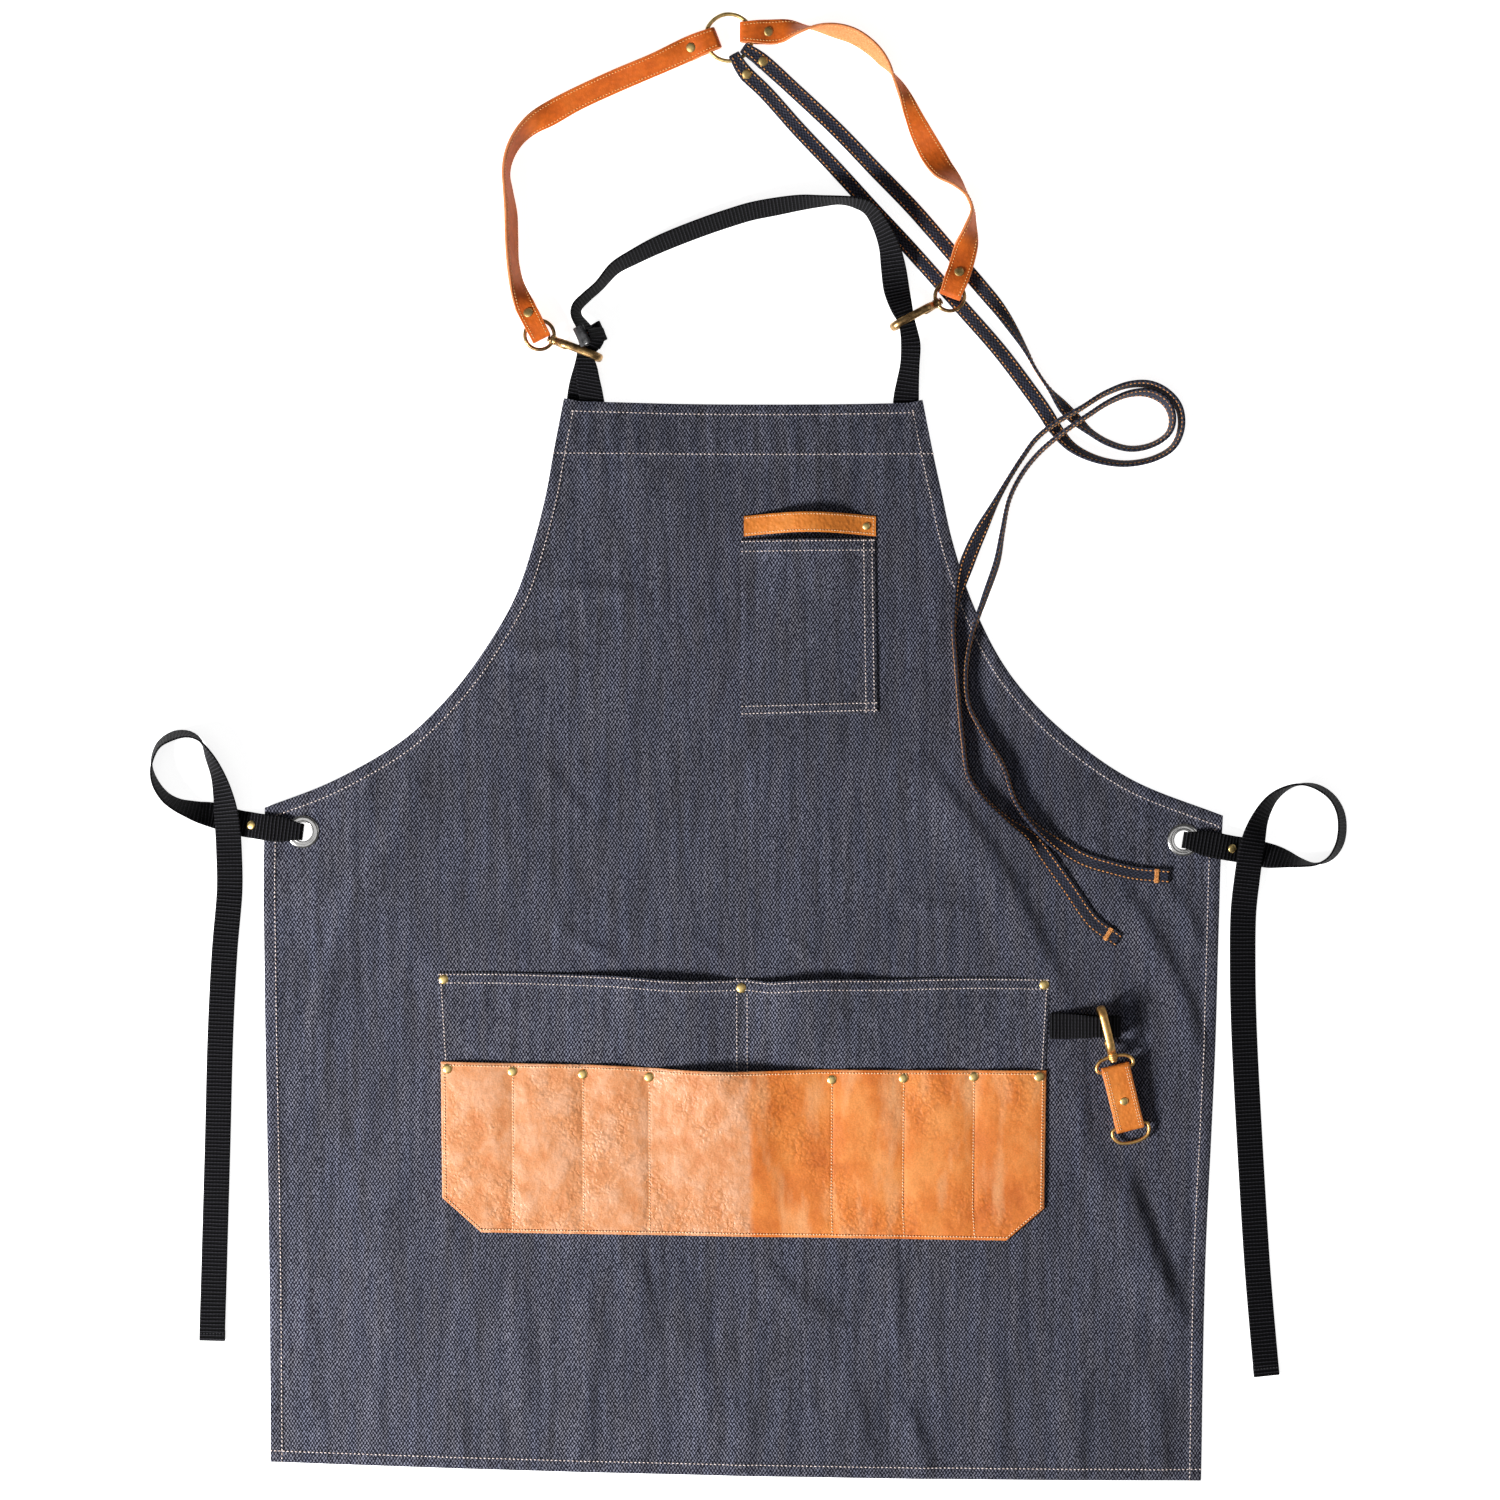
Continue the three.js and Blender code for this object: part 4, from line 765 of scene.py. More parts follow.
def leather_finish(name, deep, mid, pale, pebble=1.0, gloss=0.42, coords_from="Object"):
    """Grained cowhide: fine pebbles and pores, soft mottling, and a sheen that the pebbles break up."""
    material, tree, surface, coords = shader(name, coords_from)
    mottle = noise(tree, coords, (34, 26, 30), 5.0, 0.62)
    blush = noise(tree, coords, (8, 9, 8), 3.0)
    tone = sums(tree, (mottle, 0.65), (blush, 0.35))
    spread = put(tree, "ShaderNodeMapping", {"Vector": coords, "Scale": (420, 330, 380)}).outputs[0]
    cells = {"Vector": spread, "Scale": 1.0}
    grain = put(tree, "ShaderNodeTexVoronoi", cells, feature="SMOOTH_F1").outputs["Distance"]
    pores = noise(tree, coords, (950, 900, 900), 2.0)
    hide = ramp(tree, tone, (0.34, deep), (0.5, mid), (0.66, pale))
    # Painted shade: the grain's hollows are darker in the base colour, and its pebble tops a little paler as
    # a faint painted highlight.
    painted_grain_shade = ramp(tree, grain, (0.1, 1.06), (0.75, 0.86))
    relief = sums(tree, (grain, -0.8 * pebble), (pores, 0.25), (mottle, 0.7))
    bumped(tree, surface, relief, 0.0011, 0.55)
    shine = ramp(tree, mottle, (0.3, gloss + 0.14), (0.7, gloss - 0.08))
    feed(tree, surface, {"Base Color": times(tree, hide, painted_grain_shade), "Roughness": shine})
    feed(tree, surface, {"Specular IOR Level": 0.3})
    return material


band_leather = leather_finish("band_leather", *BAND_TAN)


def band_point(share, across):
    """A point under the band: share along it, across from its middle line."""
    bow = BAND_BOW * np.sin(np.pi * share)
    x = BAND_LEFT + (BAND_RIGHT - BAND_LEFT) * share
    height = DENIM + POCKET_GAP + BAND_ARCH * np.sin(np.pi * share) ** 2
    return np.stack(np.broadcast_arrays(x, BAND_MIDDLE + bow + across, height), axis=-1)


band_shares = np.linspace(0, 1, 60)
band_across = BAND_HALF * np.array([1, 0.96, 0.86, 0.5, 0, -0.5, -0.86, -0.96, -1])
band_low = np.stack([band_point(band_shares, across) for across in band_across])
band_round = np.array([0.45, 0.12, 0, 0.03, 0.05, 0.03, 0, 0.12, 0.45])[:, None]
band_top = band_low + np.array([0, 0, 1.0]) * (POCKET_LEATHER - band_round)[..., None]
band = make_sheet("leather_band", band_top, band_low, band_leather)
fit(band, "leather", "pen_band")

tan_thread = thread_finish("tan_thread", (1.0, 0.78, 0.52), (0.80, 0.46, 0.22))
SEAM_RISE = POCKET_LEATHER + 0.02
seam_place = BAND_HALF - BAND_SEAM
band_seams = [band_point(np.linspace(0.02, 0.98, 80), side) for side in (seam_place, -seam_place)]
band_seams.append(band_point(np.full(12, 0.982), np.linspace(-seam_place, seam_place, 12)))
band_seams = [seam + np.array([0, 0, SEAM_RISE]) for seam in band_seams]
band_stitches = stitched("band_stitches", band_seams, BAND_STITCH, tan_thread)
fit(band_stitches, "leather")


def cap_seat(surface, x, y, cap):
    """Where a cap of this radius rests on a surface that isn't level."""
    turns = np.linspace(0, 2 * np.pi, 9)
    around = surface(x + cap * np.cos(turns), y + cap * np.sin(turns))
    return max(float(np.max(around)), float(surface(np.array([x]), np.array([y]))[0])) - CAP_SINK


def band_top_height(x, y):
    return band_point((x - BAND_LEFT) / (BAND_RIGHT - BAND_LEFT), 0.0)[..., 2] + POCKET_LEATHER


band_seat = cap_seat(band_top_height, *BAND_RIVET, SMALL_CAP)
rivet_spots = [(*BAND_RIVET, band_seat, (0, 0, 1), SMALL_CAP)]


# Lower pocket: a wide denim patch across the skirt, split in two by a double row of stitches. Its hemmed
# mouth sags open on both sides of the middle rivet, and its lower half lies under the leather pocket.
LOWER = np.array([
    [-230, -166, 224, -170], [-226, -231, 220, -238], [-226, -331, 219, -340], [-197, -357, 191, -363],
], float)
LOWER_LEFT = -230
LOWER_RIGHT = 224
LOWER_MOUTH = -171
LOWER_GAPE = 8.0
LOWER_DEPTH = 115.0
LOWER_SAG = (
    (-230, 0), (-186, -0.4), (-130, 0.5), (-99, 1.2), (-78, 2.6), (-61, 3.9), (-39, 4.3),
    (-16, 3.6), (-3, 2.9), (6, 3.9), (17, 4.8), (32, 3.6), (54, 2.4), (77, 2.2), (107, 2.2),
    (130, 1.2), (152, 0.5), (175, 0.1), (224, 0.2),
)
LOWER_RIM = 1.9
POCKET_DIVIDER = -5.0
DIVIDER_RISE = 1.15
POCKET_RIVETS = ((-225, -171), (-5, -177.5), (219, -175))


def lower_gape(x, y):
    left_half = (x - LOWER_LEFT) / (POCKET_DIVIDER - LOWER_LEFT)
    right_half = (x - POCKET_DIVIDER) / (LOWER_RIGHT - POCKET_DIVIDER)
    half = np.clip(np.where(x < POCKET_DIVIDER, left_half, right_half), 0, 1)
    lean = np.where(x < POCKET_DIVIDER, half**2.4, 1 - (1 - half) ** 3.0)
    return LOWER_GAPE * arch(lean) * decay(LOWER_MOUTH - y, LOWER_DEPTH)


def pocket_folds(x, y):
    """Shallow upright folds in the loose pocket cloth."""
    loose = np.clip(1.3 * lower_gape(x, y), 0, 1)
    folds = 1.5 * fade(abs(x + 46 + 3 * np.sin(y / 14)), 0, 15) * fade(abs(y + 205), 10, 45)
    folds = folds + 0.9 * fade(abs(x - 52 - 2 * np.sin(y / 11)), 0, 16) * fade(abs(y + 200), 8, 40)
    return loose * (folds + 0.45 * np.maximum(0, ripple(x, y, 46, 0.9)))


def lower_under(x, y):
    return panel_height(x, y) * 0.35 + DENIM + POCKET_GAP + lower_gape(x, y) + pocket_folds(x, y)


def mouth_hem(mouth, sides, bottom):
    edge = np.minimum(mouth, sides)
    rim = 0.7 * (1 - ease(edge / 1.2))
    hem = 0.9 * fade(mouth, 9.0, 11.0)
    return 1.05 + np.maximum(hem, 0.7 * fade(sides, 5.5, 7.5)) - rim - 0.2 * fade(abs(edge - 2.2), 0, 1.4)


lower_rows = np.concatenate([[0, 0.02, 0.06], np.linspace(0.1, 1, 34), np.linspace(1.1, 3, 14)])
lower_shares = rim_rows(150, 0.022, 1)
lower = patch_sheet(
    "lower_patch", LOWER, lower_rows, lower_shares, LOWER_SAG, lower_under, mouth_hem, patch_denim,
)
fit(lower, "denim", "lower_pocket")

lower_seams = []
for row in (0.021, 0.118):
    lower_seams.append(across_patch(LOWER, row, 0.004, 0.996, LOWER_SAG, lower_under, PATCH_RISE))
for share in (0.006, 0.994):
    lower_seams.append(down_patch(LOWER, 0.02, 1.1, share, LOWER_SAG, lower_under, PATCH_RISE))
for share in (0.4885, 0.5055):
    lower_seams.append(down_patch(LOWER, 0.0, 1.02, share, LOWER_SAG, lower_under, DIVIDER_RISE))
lower_stitches = stitched("lower_stitches", lower_seams, PATCH_STITCH, cream_thread)
fit(lower_stitches, "denim")
for x, y in POCKET_RIVETS:
    seat = cap_seat(lambda u, v: lower_under(u, v) + LOWER_RIM, x, y, CAP)
    rivet_spots.append((x, y, seat, (0, 0, 1), CAP))


# Leather pocket: one piece of orange-tan grained cowhide with clipped lower corners, riveted along its
# mouth and sewn round its edge. Rows of stitches below the rivets split it into seven compartments.
LEATHER = np.array([[-227, -231, 220.5, -238], [-226, -332, 219, -340], [-197, -358, 191, -364]], float)
DIVIDERS = np.array([-229, -174, -122, -73, 62, 115, 167, 222], float)
LEATHER_SAG = (
    (-227, 0.8), (-169, 1.2), (-122, 1.2), (-98, 1.7), (-74, 2.7), (-41, 4.2), (-13, 4.6),
    (14, 3.6), (53, 2.2), (115, 1.8), (167, 1.0), (220, 0.5),
)
LEATHER_MOUTH = -237
LEATHER_WIDTH = 447.5
LEATHER_MIDDLE = -3.4
CORNER_CUT = 60
LEATHER_SEAM = 2.6
LEATHER_STITCH = (2.3, 1.7, 1.0)
MIDDLE_GAPE = 8.5
SMALL_GAPE = 1.3
MIDDLE_COMPARTMENT = 4
LEATHER_DEPTH = 125.0
LEATHER_CREASE = 1.5
MIDDLE_RIDGE = 2.2
LEATHER_RIVETS = (
    (-222, -237), (-174, -239), (-122, -241), (-73, -243), (62, -245), (115, -244), (167, -243), (215, -243),
)


def leather_under(x, y):
    k = np.clip(np.searchsorted(DIVIDERS, x, side="right"), 1, len(DIVIDERS) - 1)
    share = (x - DIVIDERS[k - 1]) / (DIVIDERS[k] - DIVIDERS[k - 1])
    middle = k == MIDDLE_COMPARTMENT
    share = np.clip(share, 0, 1)
    lean = np.where(middle, share**0.8, share)
    gape = np.where(middle, MIDDLE_GAPE, SMALL_GAPE) * arch(lean) * decay(LEATHER_MOUTH - y, LEATHER_DEPTH)
    slack = ease(np.minimum(share, 1 - share) / 0.2)
    rumple = 0.35 * ripple(x, y, 38, 0.3) + 0.16 * ripple(x, y, 19, 2.2)
    fold = x - LEATHER_CREASE - 2 * np.sin(y / 31)
    below = LEATHER_MOUTH - y
    ridge = MIDDLE_RIDGE * np.where(fold < 0, fade(-fold, 0, 62), fade(fold, 0, 30)) * ease((below + 1) / 12)
    dent = 0.35 * fade(np.min(abs(x[..., None] - DIVIDERS[1:-1]), axis=-1), 0, 2.2) * ease((below - 9) / 6)
    loose = np.where(x < LEATHER_CREASE, 0.75, 0.45)
    return lower_under(x, y) * 0.85 + 1.45 + gape + slack * (0.55 + loose * rumple) + ridge - dent


def blended(tree, factor, first, second):
    return put(tree, "ShaderNodeMix", {0: factor, 6: first, 7: second}, data_type="RGBA").outputs[2]


def pocket_hide(name):
    """Grained hide: crumpled and pebbled left of its crease and paler there with painted sheen, smoother and
    deeper right of it with streaks of painted sheen.
    """
    material, tree, surface, coords = shader(name)
    mottle = noise(tree, coords, (26, 20, 24), 6.0, 0.62)
    crumple = noise(tree, coords, (70, 52, 60), 6.0, 0.62)
    streaks = noise(tree, coords, (52, 15, 30), 4.0, 0.55)
    pores = noise(tree, coords, (900, 900, 900), 2.0, 0.6)
    place = put(tree, "ShaderNodeSeparateXYZ", {0: coords}).outputs[0]
    place = sums(tree, (streaks, 0.008), (place, 1.0))
    # Mask of the hide left of its crease, where the paler colour is painted sheen. The same mask sets how
    # strong the bump is.
    edge = 0.004 + LEATHER_CREASE * MM
    span = {"Value": place, "From Min": edge - 0.003, "From Max": edge + 0.003}
    span.update({"To Min": 1.0, "To Max": 0.0})
    painted_sheen_side = put(tree, "ShaderNodeMapRange", span, interpolation_type="SMOOTHSTEP").outputs[0]
    waver = {"Vector": coords, "Scale": 150.0, "Detail": 2.0}
    wobble = put(tree, "ShaderNodeTexNoise", waver).outputs["Color"]
    bent = put(tree, "ShaderNodeMix", {0: 0.006, 4: coords, 5: wobble}, data_type="VECTOR").outputs[1]
    cells = {"Vector": bent, "Scale": 380.0, "Smoothness": 0.5}
    pebbles = put(tree, "ShaderNodeTexVoronoi", cells, feature="SMOOTH_F1").outputs["Distance"]
    patches = ramp(tree, noise(tree, coords, (19, 15, 17), 3.0, 0.6), (0.46, 0.12), (0.6, 1.0))
    tans = ((0.34, (0.62, 0.150, 0.022)), (0.5, (0.76, 0.222, 0.040)), (0.64, (0.84, 0.30, 0.075)))
    deep = ramp(tree, mottle, *tans)
    # Painted sheen: pale pink streaks mixed into the right side's deeper colour.
    painted_sheen_streaks = ramp(tree, streaks, (0.5, 0.0), (0.72, 0.75))
    deep = blended(tree, painted_sheen_streaks, deep, (0.88, 0.44, 0.20, 1.0))
    # Painted sheen: the left side's pale, pinkish tans over its crumpled tone stand in for highlights on the
    # crumples.
    sheen_tans = ((0.32, (0.60, 0.205, 0.065)), (0.47, (0.66, 0.27, 0.108)), (0.64, (0.73, 0.365, 0.20)))
    painted_sheen_tone = ramp(tree, crumple, *sheen_tans)
    # Painted shade in the pebbles' hollows and a faint painted highlight on their tops, only where the
    # pebbled patches are.
    painted_pebble_shade = ramp(tree, pebbles, (0.35, 1.06), (0.85, 0.78))
    painted_pebble_shade = blended(tree, patches, (1.0, 1.0, 1.0, 1.0), painted_pebble_shade)
    speckle = ramp(tree, pores, (0.35, 0.9), (0.65, 1.08))
    colour = times(tree, blended(tree, painted_sheen_side, deep, painted_sheen_tone), painted_pebble_shade, speckle)
    grain = put(tree, "ShaderNodeMath", {0: pebbles, 1: patches}, operation="MULTIPLY").outputs[0]
    ridged = {"Vector": bent, "Scale": 88.0, "Detail": 2.0, "Roughness": 0.55}
    veins = put(tree, "ShaderNodeTexNoise", ridged, noise_type="RIDGED_MULTIFRACTAL").outputs["Fac"]
    relief = sums(tree, (grain, -0.7), (pores, 0.16), (crumple, 1.5), (mottle, 0.8), (veins, 0.5))
    amount = put(tree, "ShaderNodeMapRange", {"Value": painted_sheen_side, "To Min": 0.4, "To Max": 0.66}).outputs[0]
    bumped(tree, surface, relief, 0.0013, amount)
    shine = ramp(tree, crumple, (0.3, 0.52), (0.7, 0.34))
    feed(tree, surface, {"Base Color": colour, "Roughness": shine, "Specular IOR Level": 0.5})
    return material


def cut_edge(mouth, sides, bottom):
    """Thickness of plain cut leather: only its rim is eased over, and the seam draws it in."""
    edge = np.minimum(np.minimum(mouth, sides), bottom)
    return POCKET_LEATHER - 0.5 * (1 - ease(edge / 0.9)) - 0.3 * fade(abs(edge - LEATHER_SEAM), 0, 1.6)


leather_rows = np.concatenate([
    [0, 0.008, 0.016, 0.03, 0.06], np.linspace(0.09, 1, 58), np.linspace(1.06, 1.9, 12), [1.95, 1.98, 2],
])
seam_columns = ((DIVIDERS[1:-1, None] + np.array([-2.2, -1.1, 0, 1.1, 2.2])) - LEATHER[0, 0]) / LEATHER_WIDTH
leather_shares = np.sort(np.concatenate([rim_rows(170, 0.012, 1), seam_columns.ravel()]))
hide = pocket_hide("pocket_leather")
leather = patch_sheet(
    "leather_patch", LEATHER, leather_rows, leather_shares, LEATHER_SAG, leather_under, cut_edge, hide,
)
fit(leather, "leather", "leather_pocket")


def leather_seam(where, shares):
    return patch_row(LEATHER, where, shares, LEATHER_SAG, leather_under, POCKET_LEATHER + 0.2)


seam_share = LEATHER_SEAM / 448
around = np.concatenate([np.linspace(0.026, 1, 50), np.linspace(1.03, 1.9, 16)])
across = np.linspace(seam_share, 1 - seam_share, 200)
leather_seams = [leather_seam(around, np.full_like(around, share)) for share in (seam_share, 1 - seam_share)]
leather_seams += [leather_seam(np.full_like(across, row), across) for row in (0.024, 1.91)]
down = np.linspace(0.09, 1.91, 60)
width = LEATHER_WIDTH - CORNER_CUT * np.maximum(0, down - 1)
for divider in DIVIDERS[1:-1]:
    leather_seams.append(leather_seam(down, 0.5 + (divider - LEATHER_MIDDLE) / width))
leather_stitches = stitched("leather_stitches", leather_seams, LEATHER_STITCH, tan_thread)
fit(leather_stitches, "leather")
for x, y in LEATHER_RIVETS:
    seat = cap_seat(lambda u, v: leather_under(u, v) + POCKET_LEATHER, x, y, CAP)
    rivet_spots.append((x, y, seat, (0, 0, 1), CAP))


# Grommets: bright plated brass eyelets, each a barrel through the panel rolled over into a wide flange
# with a raised bead round its hole.
GROMMET_HOLE = 7.0
GROMMET_FLANGE = 12.0
WEBBING = 1.4


def metal_finish(name, pale, dark, rough, tarnish):
    """Plated metal: colour and polish change a little where hands and cloth have rubbed it."""
    material, tree, surface, coords = shader(name)
    wear = noise(tree, coords, (210, 210, 210), 4.0, 0.65)
    colour = ramp(tree, wear, (tarnish, dark), (tarnish + 0.22, pale))
    polish = ramp(tree, wear, (0.3, rough + 0.12), (0.7, rough))
    bumped(tree, surface, noise(tree, coords, (900, 900, 900), 2.0), 0.0002, 0.25)
    feed(tree, surface, {"Base Color": colour, "Roughness": polish, "Metallic": 1.0})
    return material


silver = metal_finish("plated_silver", (0.80, 0.79, 0.78), (0.60, 0.59, 0.58), 0.16, 0.3)
for side, (x, y) in GROMMET_PLACES.items():
    low = WEBBING + 0.3
    top = GROMMET_LIFT + DENIM
    profile = [
        (GROMMET_HOLE, low), (11.4, low), (GROMMET_FLANGE, low + 0.4), (11.4, low + 0.9), (8.9, low + 0.9),
        (8.9, top + 0.2), (11.6, top + 0.2), (GROMMET_FLANGE, top + 0.55), (11.6, top + 1.0),
        (10.4, top + 1.35), (9.3, top + 1.3), (8.7, top + 1.15), (8.2, top + 1.35), (7.6, top + 1.5),
        (7.1, top + 1.2), (GROMMET_HOLE, top + 0.7), (GROMMET_HOLE, low),
    ]
    eyelet = make_piece(f"{side}_eyelet", *lathe(profile, (x, y, 0), sides=48), [silver], sharp=70)
    fit(eyelet, "silver", f"{side}_grommet")


# Waist ties: black ribbed webbing through each grommet and back under the panel, held by a rivet beside
# the panel's edge, then looped once and laid straight down to a turned and sewn end.
WEBBING_WIDTH = 19.0
PLAY = 0.3

# x, y, roll with the left edge rising, height of what lies under, and width where it is gathered
LEFT_TIE = [
    (-332, -61.7, 0, 5.8, 12.4), (-345, -60, 0, 5.8), (-359.5, -58.2, 0, 5.8), (-367, -57, 0, 3.1),
    (-378, -55, 0, 1), (-394, -50, 14, 0), (-405, -47.5, 38, 0), (-413, -45, 52, 0),
    (-421, -42, 64, 0), (-430, -36, 74, 0), (-437.5, -25, 84, 0), (-440, -12, 98, 0),
    (-435, 2, 106, 0), (-424, 9, 110, 0), (-413, 10, 102, 0), (-405, 6, 90, 0.5), (-398, -5, 68, 2),
    (-391, -20, 52, 3.5), (-387, -35, 34, 5), (-384.5, -53, 12, 6.5), (-383.5, -75, 0, 4),
    (-383.5, -105, 0, 0), (-387.2, -150, 0, 0), (-390.2, -209, 0, 0), (-392.5, -297, 0, 0),
    (-395, -386, 0, 0), (-396, -428, 0, 2), (-396.2, -437, 0, 2),
]
RIGHT_TIE = [
    (324.7, -68.3, 0, 5.8, 12.4), (338, -70.5, 0, 5.8), (352.5, -73.3, 0, 5.8),
    (360, -74.7, 0, 3.1), (370, -76.2, 0, 1), (382, -79, -12, 0), (397, -82, -48, 0),
    (408, -84.5, -72, 0), (419, -85.5, -90, 0), (429, -81.5, -104, 0), (436, -72, -113, 0),
    (438.5, -60, -115, 0), (437, -47, -113, 0), (430.5, -36, -108, 0), (420, -29, -102, 0),
    (408, -27, -90, 0.5), (397, -30, -78, 2), (386, -38, -62, 3.5), (377, -53, -42, 5),
    (372, -72, -14, 6.5), (369, -95, 0, 3.5), (366.5, -122, 0, 0), (366, -165, 0, 0),
    (367, -209, 0, 0), (371.5, -297, 0, 0), (377, -386, 0, 0), (382.5, -453, 0, 2),
    (383.5, -463, 0, 2),
]
TIE_FOLD = {"gap": 4.2, "hold": 27, "pinch": 33, "tail": 43}
END_HEM = {"gap": PLAY, "hold": 1, "pinch": 2, "tail": 9}
TIE_RIVET = 35.0
TIE_CAP = 3.3
TIE_STITCH = (2.2, 1.9, 0.7)
STRAP_STEP = 3.0
BEND_POINTS = 10
TAIL_GAP = 0.15
CAP_STAND = 0.25
THREAD_STAND = 0.05
THREAD_FLOOR = 0.62


def lay(rows, width, thickness, ground=None):
    """A strap laid through a table: its middle line, its left-hand ways, its widths and its row numbers."""
    full = np.array([(*row, width)[:5] if len(row) == 4 else row for row in rows], float)
    gaps = np.linalg.norm(np.diff(full[:, :2], axis=0), axis=1)
    where = [0.0]
    for k, gap in enumerate(gaps):
        steps = max(2, math.ceil(gap / STRAP_STEP))
        where += list(k + np.arange(1, steps + 1) / steps)
    where = np.array(where)
    plan = spline(full[:, :2], where)
    roll, base, wide = spline(full[:, :2], where, full[:, 2:]).T
    roll, base = np.radians(roll), np.maximum(base, 0)
    if ground is not None:
        base = base + ground(plan[:, 0], plan[:, 1])
    height = base + wide / 2 * abs(np.sin(roll)) + thickness / 2 * abs(np.cos(roll))
    point = np.column_stack([plan, height])
    along = unit(np.gradient(point, axis=0))
    heading = unit(np.gradient(plan, axis=0))
    level = np.column_stack([-heading[:, 1], heading[:, 0], np.zeros(len(where))])
    level = unit(level - along * np.sum(level * along, axis=1, keepdims=True))
    side = level * np.cos(roll)[:, None] + np.cross(along, level) * np.sin(roll)[:, None]
    return {"point": point, "side": side, "wide": wide, "row": where}


def turned(run):
    back = {key: part[::-1] for key, part in run.items()}
    return {**back, "side": -back["side"]}


def travelled(run):
    return np.concatenate([[0], np.cumsum(np.linalg.norm(np.diff(run["point"], axis=0), axis=1))])


def facing_of(run):
    """The ways along the strap and out of its face."""
    along = unit(np.gradient(run["point"], axis=0))
    return along, unit(np.cross(along, run["side"]))


def spot_at(run, distance):
    """The point and the face's way at a distance from the strap's start."""
    k = int(np.argmin(abs(travelled(run) - distance)))
    return run["point"][k], facing_of(run)[1][k]


def fold_end(run, thickness, gap, hold, pinch, tail, way=-1):
    """The strap's end turned back on itself round a wire: apart by gap for hold, closed from pinch."""
    along, normal = facing_of(run)
    reach = (gap + thickness) / 2
    angles = np.linspace(0, np.pi, BEND_POINTS + 2)[1:-1, None]
    bend = run["point"][-1] + way * reach * (1 - np.cos(angles)) * normal[-1]
    bend = bend + reach * np.sin(angles) * along[-1]
    back = travelled(turned(run))
    keep = back <= tail
    offset = thickness + TAIL_GAP + (gap - TAIL_GAP) * fade(back[keep], hold, pinch)
    tail_points = run["point"][::-1][keep] + way * offset[:, None] * normal[::-1][keep]
    folded = {}
    for key, part in run.items():
        folded[key] = np.concatenate([part, np.repeat(part[-1:], BEND_POINTS, axis=0), part[::-1][keep]])
    folded["point"] = np.vstack([run["point"], bend, tail_points])
    return folded


def fold_start(run, thickness, **fold):
    return turned(fold_end(turned(run), thickness, **fold))


TOP_ACROSS = np.array([0.95, 0.8, 0.5, 0.2, -0.2, -0.5, -0.8, -0.95])


def ring_quads(here, there):
    """Faces between rings of points and the rings that follow them."""
    return np.stack([here, np.roll(here, -1, 1), np.roll(there, -1, 1), there], -1).reshape(-1, 4)


def strap_piece(name, run, thickness, finishes, crown=0.0):
    """A flat strap with eased edges. finishes are for its face, its edges and its back."""
    flat = thickness / 2 * np.ones(8) + crown * (1 - TOP_ACROSS**2)
    across = np.concatenate([TOP_ACROSS, [-1, -1], TOP_ACROSS[::-1], [1, 1]])
    rim = thickness / 2 * np.array([0.55, -0.55])
    up = np.concatenate([flat, rim, -flat[::-1], -rim])
    _, normal = facing_of(run)
    half = run["wide"][:, None, None] / 2
    points = run["point"][:, None] + run["side"][:, None] * across[None, :, None] * half
    points = points + normal[:, None] * up[None, :, None]
    count, ring = len(run["point"]), len(across)
    base = np.arange(count * ring).reshape(count, ring)
    zone = np.array([0] * 7 + [1] * 3 + [2] * 7 + [1] * 3)
    slots = np.concatenate([np.tile(zone, count - 1), [1, 1]])
    faces = [*ring_quads(base[:-1], base[1:]), base[0][::-1], base[-1]]
    lengths = np.repeat(travelled(run)[:, None], ring, 1)
    uv = np.stack([(across[None] * run["wide"][:, None] / 2), lengths], -1).reshape(-1, 2)
    return make_piece(name, points.reshape(-1, 3), faces, finishes, slots, uv)


def strap_lines(run, thickness, inset, faces=(1, -1)):
    """Stitch lines along both edges of a strap, on its face and its back."""
    _, normal = facing_of(run)
    lines = []
    for face in faces:
        for edge in (1, -1):
            out = edge * (run["wide"] / 2 - inset)[:, None] * run["side"]
            line = run["point"] + out + face * (thickness / 2 + THREAD_STAND) * normal
            line[:, 2] = np.maximum(line[:, 2], THREAD_FLOOR)
            lines.append(line)
    return lines


def webbing_finish(name):
    """Black nylon webbing: ribs across it in small baskets, paler where the ribs catch the light."""
    material, tree, surface, coords = shader(name, "UV")
    waves = {"Vector": coords, "Distortion": 0.5, "Detail": 0.0}
    ribs = put(tree, "ShaderNodeTexWave", {**waves, "Scale": 118.0}, bands_direction="Y").outputs["Fac"]
    columns = put(tree, "ShaderNodeTexWave", {**waves, "Scale": 130.0}, bands_direction="X").outputs["Fac"]
    fuzz = noise(tree, coords, (1600, 1600, 1), 2.0)
    knots = sums(tree, (ribs, 0.66), (columns, 0.08), (fuzz, 0.32))
    black = (0.0004, 0.0004, 0.0007)
    grey = (0.0016, 0.0015, 0.0022)
    lit = (0.034, 0.033, 0.039)
    colour = ramp(tree, knots, (0.42, black), (0.68, grey), (0.94, lit))
    bumped(tree, surface, knots, 0.0009, 0.9)
    feed(tree, surface, {"Base Color": colour, "Roughness": 0.7, "Specular IOR Level": 0.1})
    return material


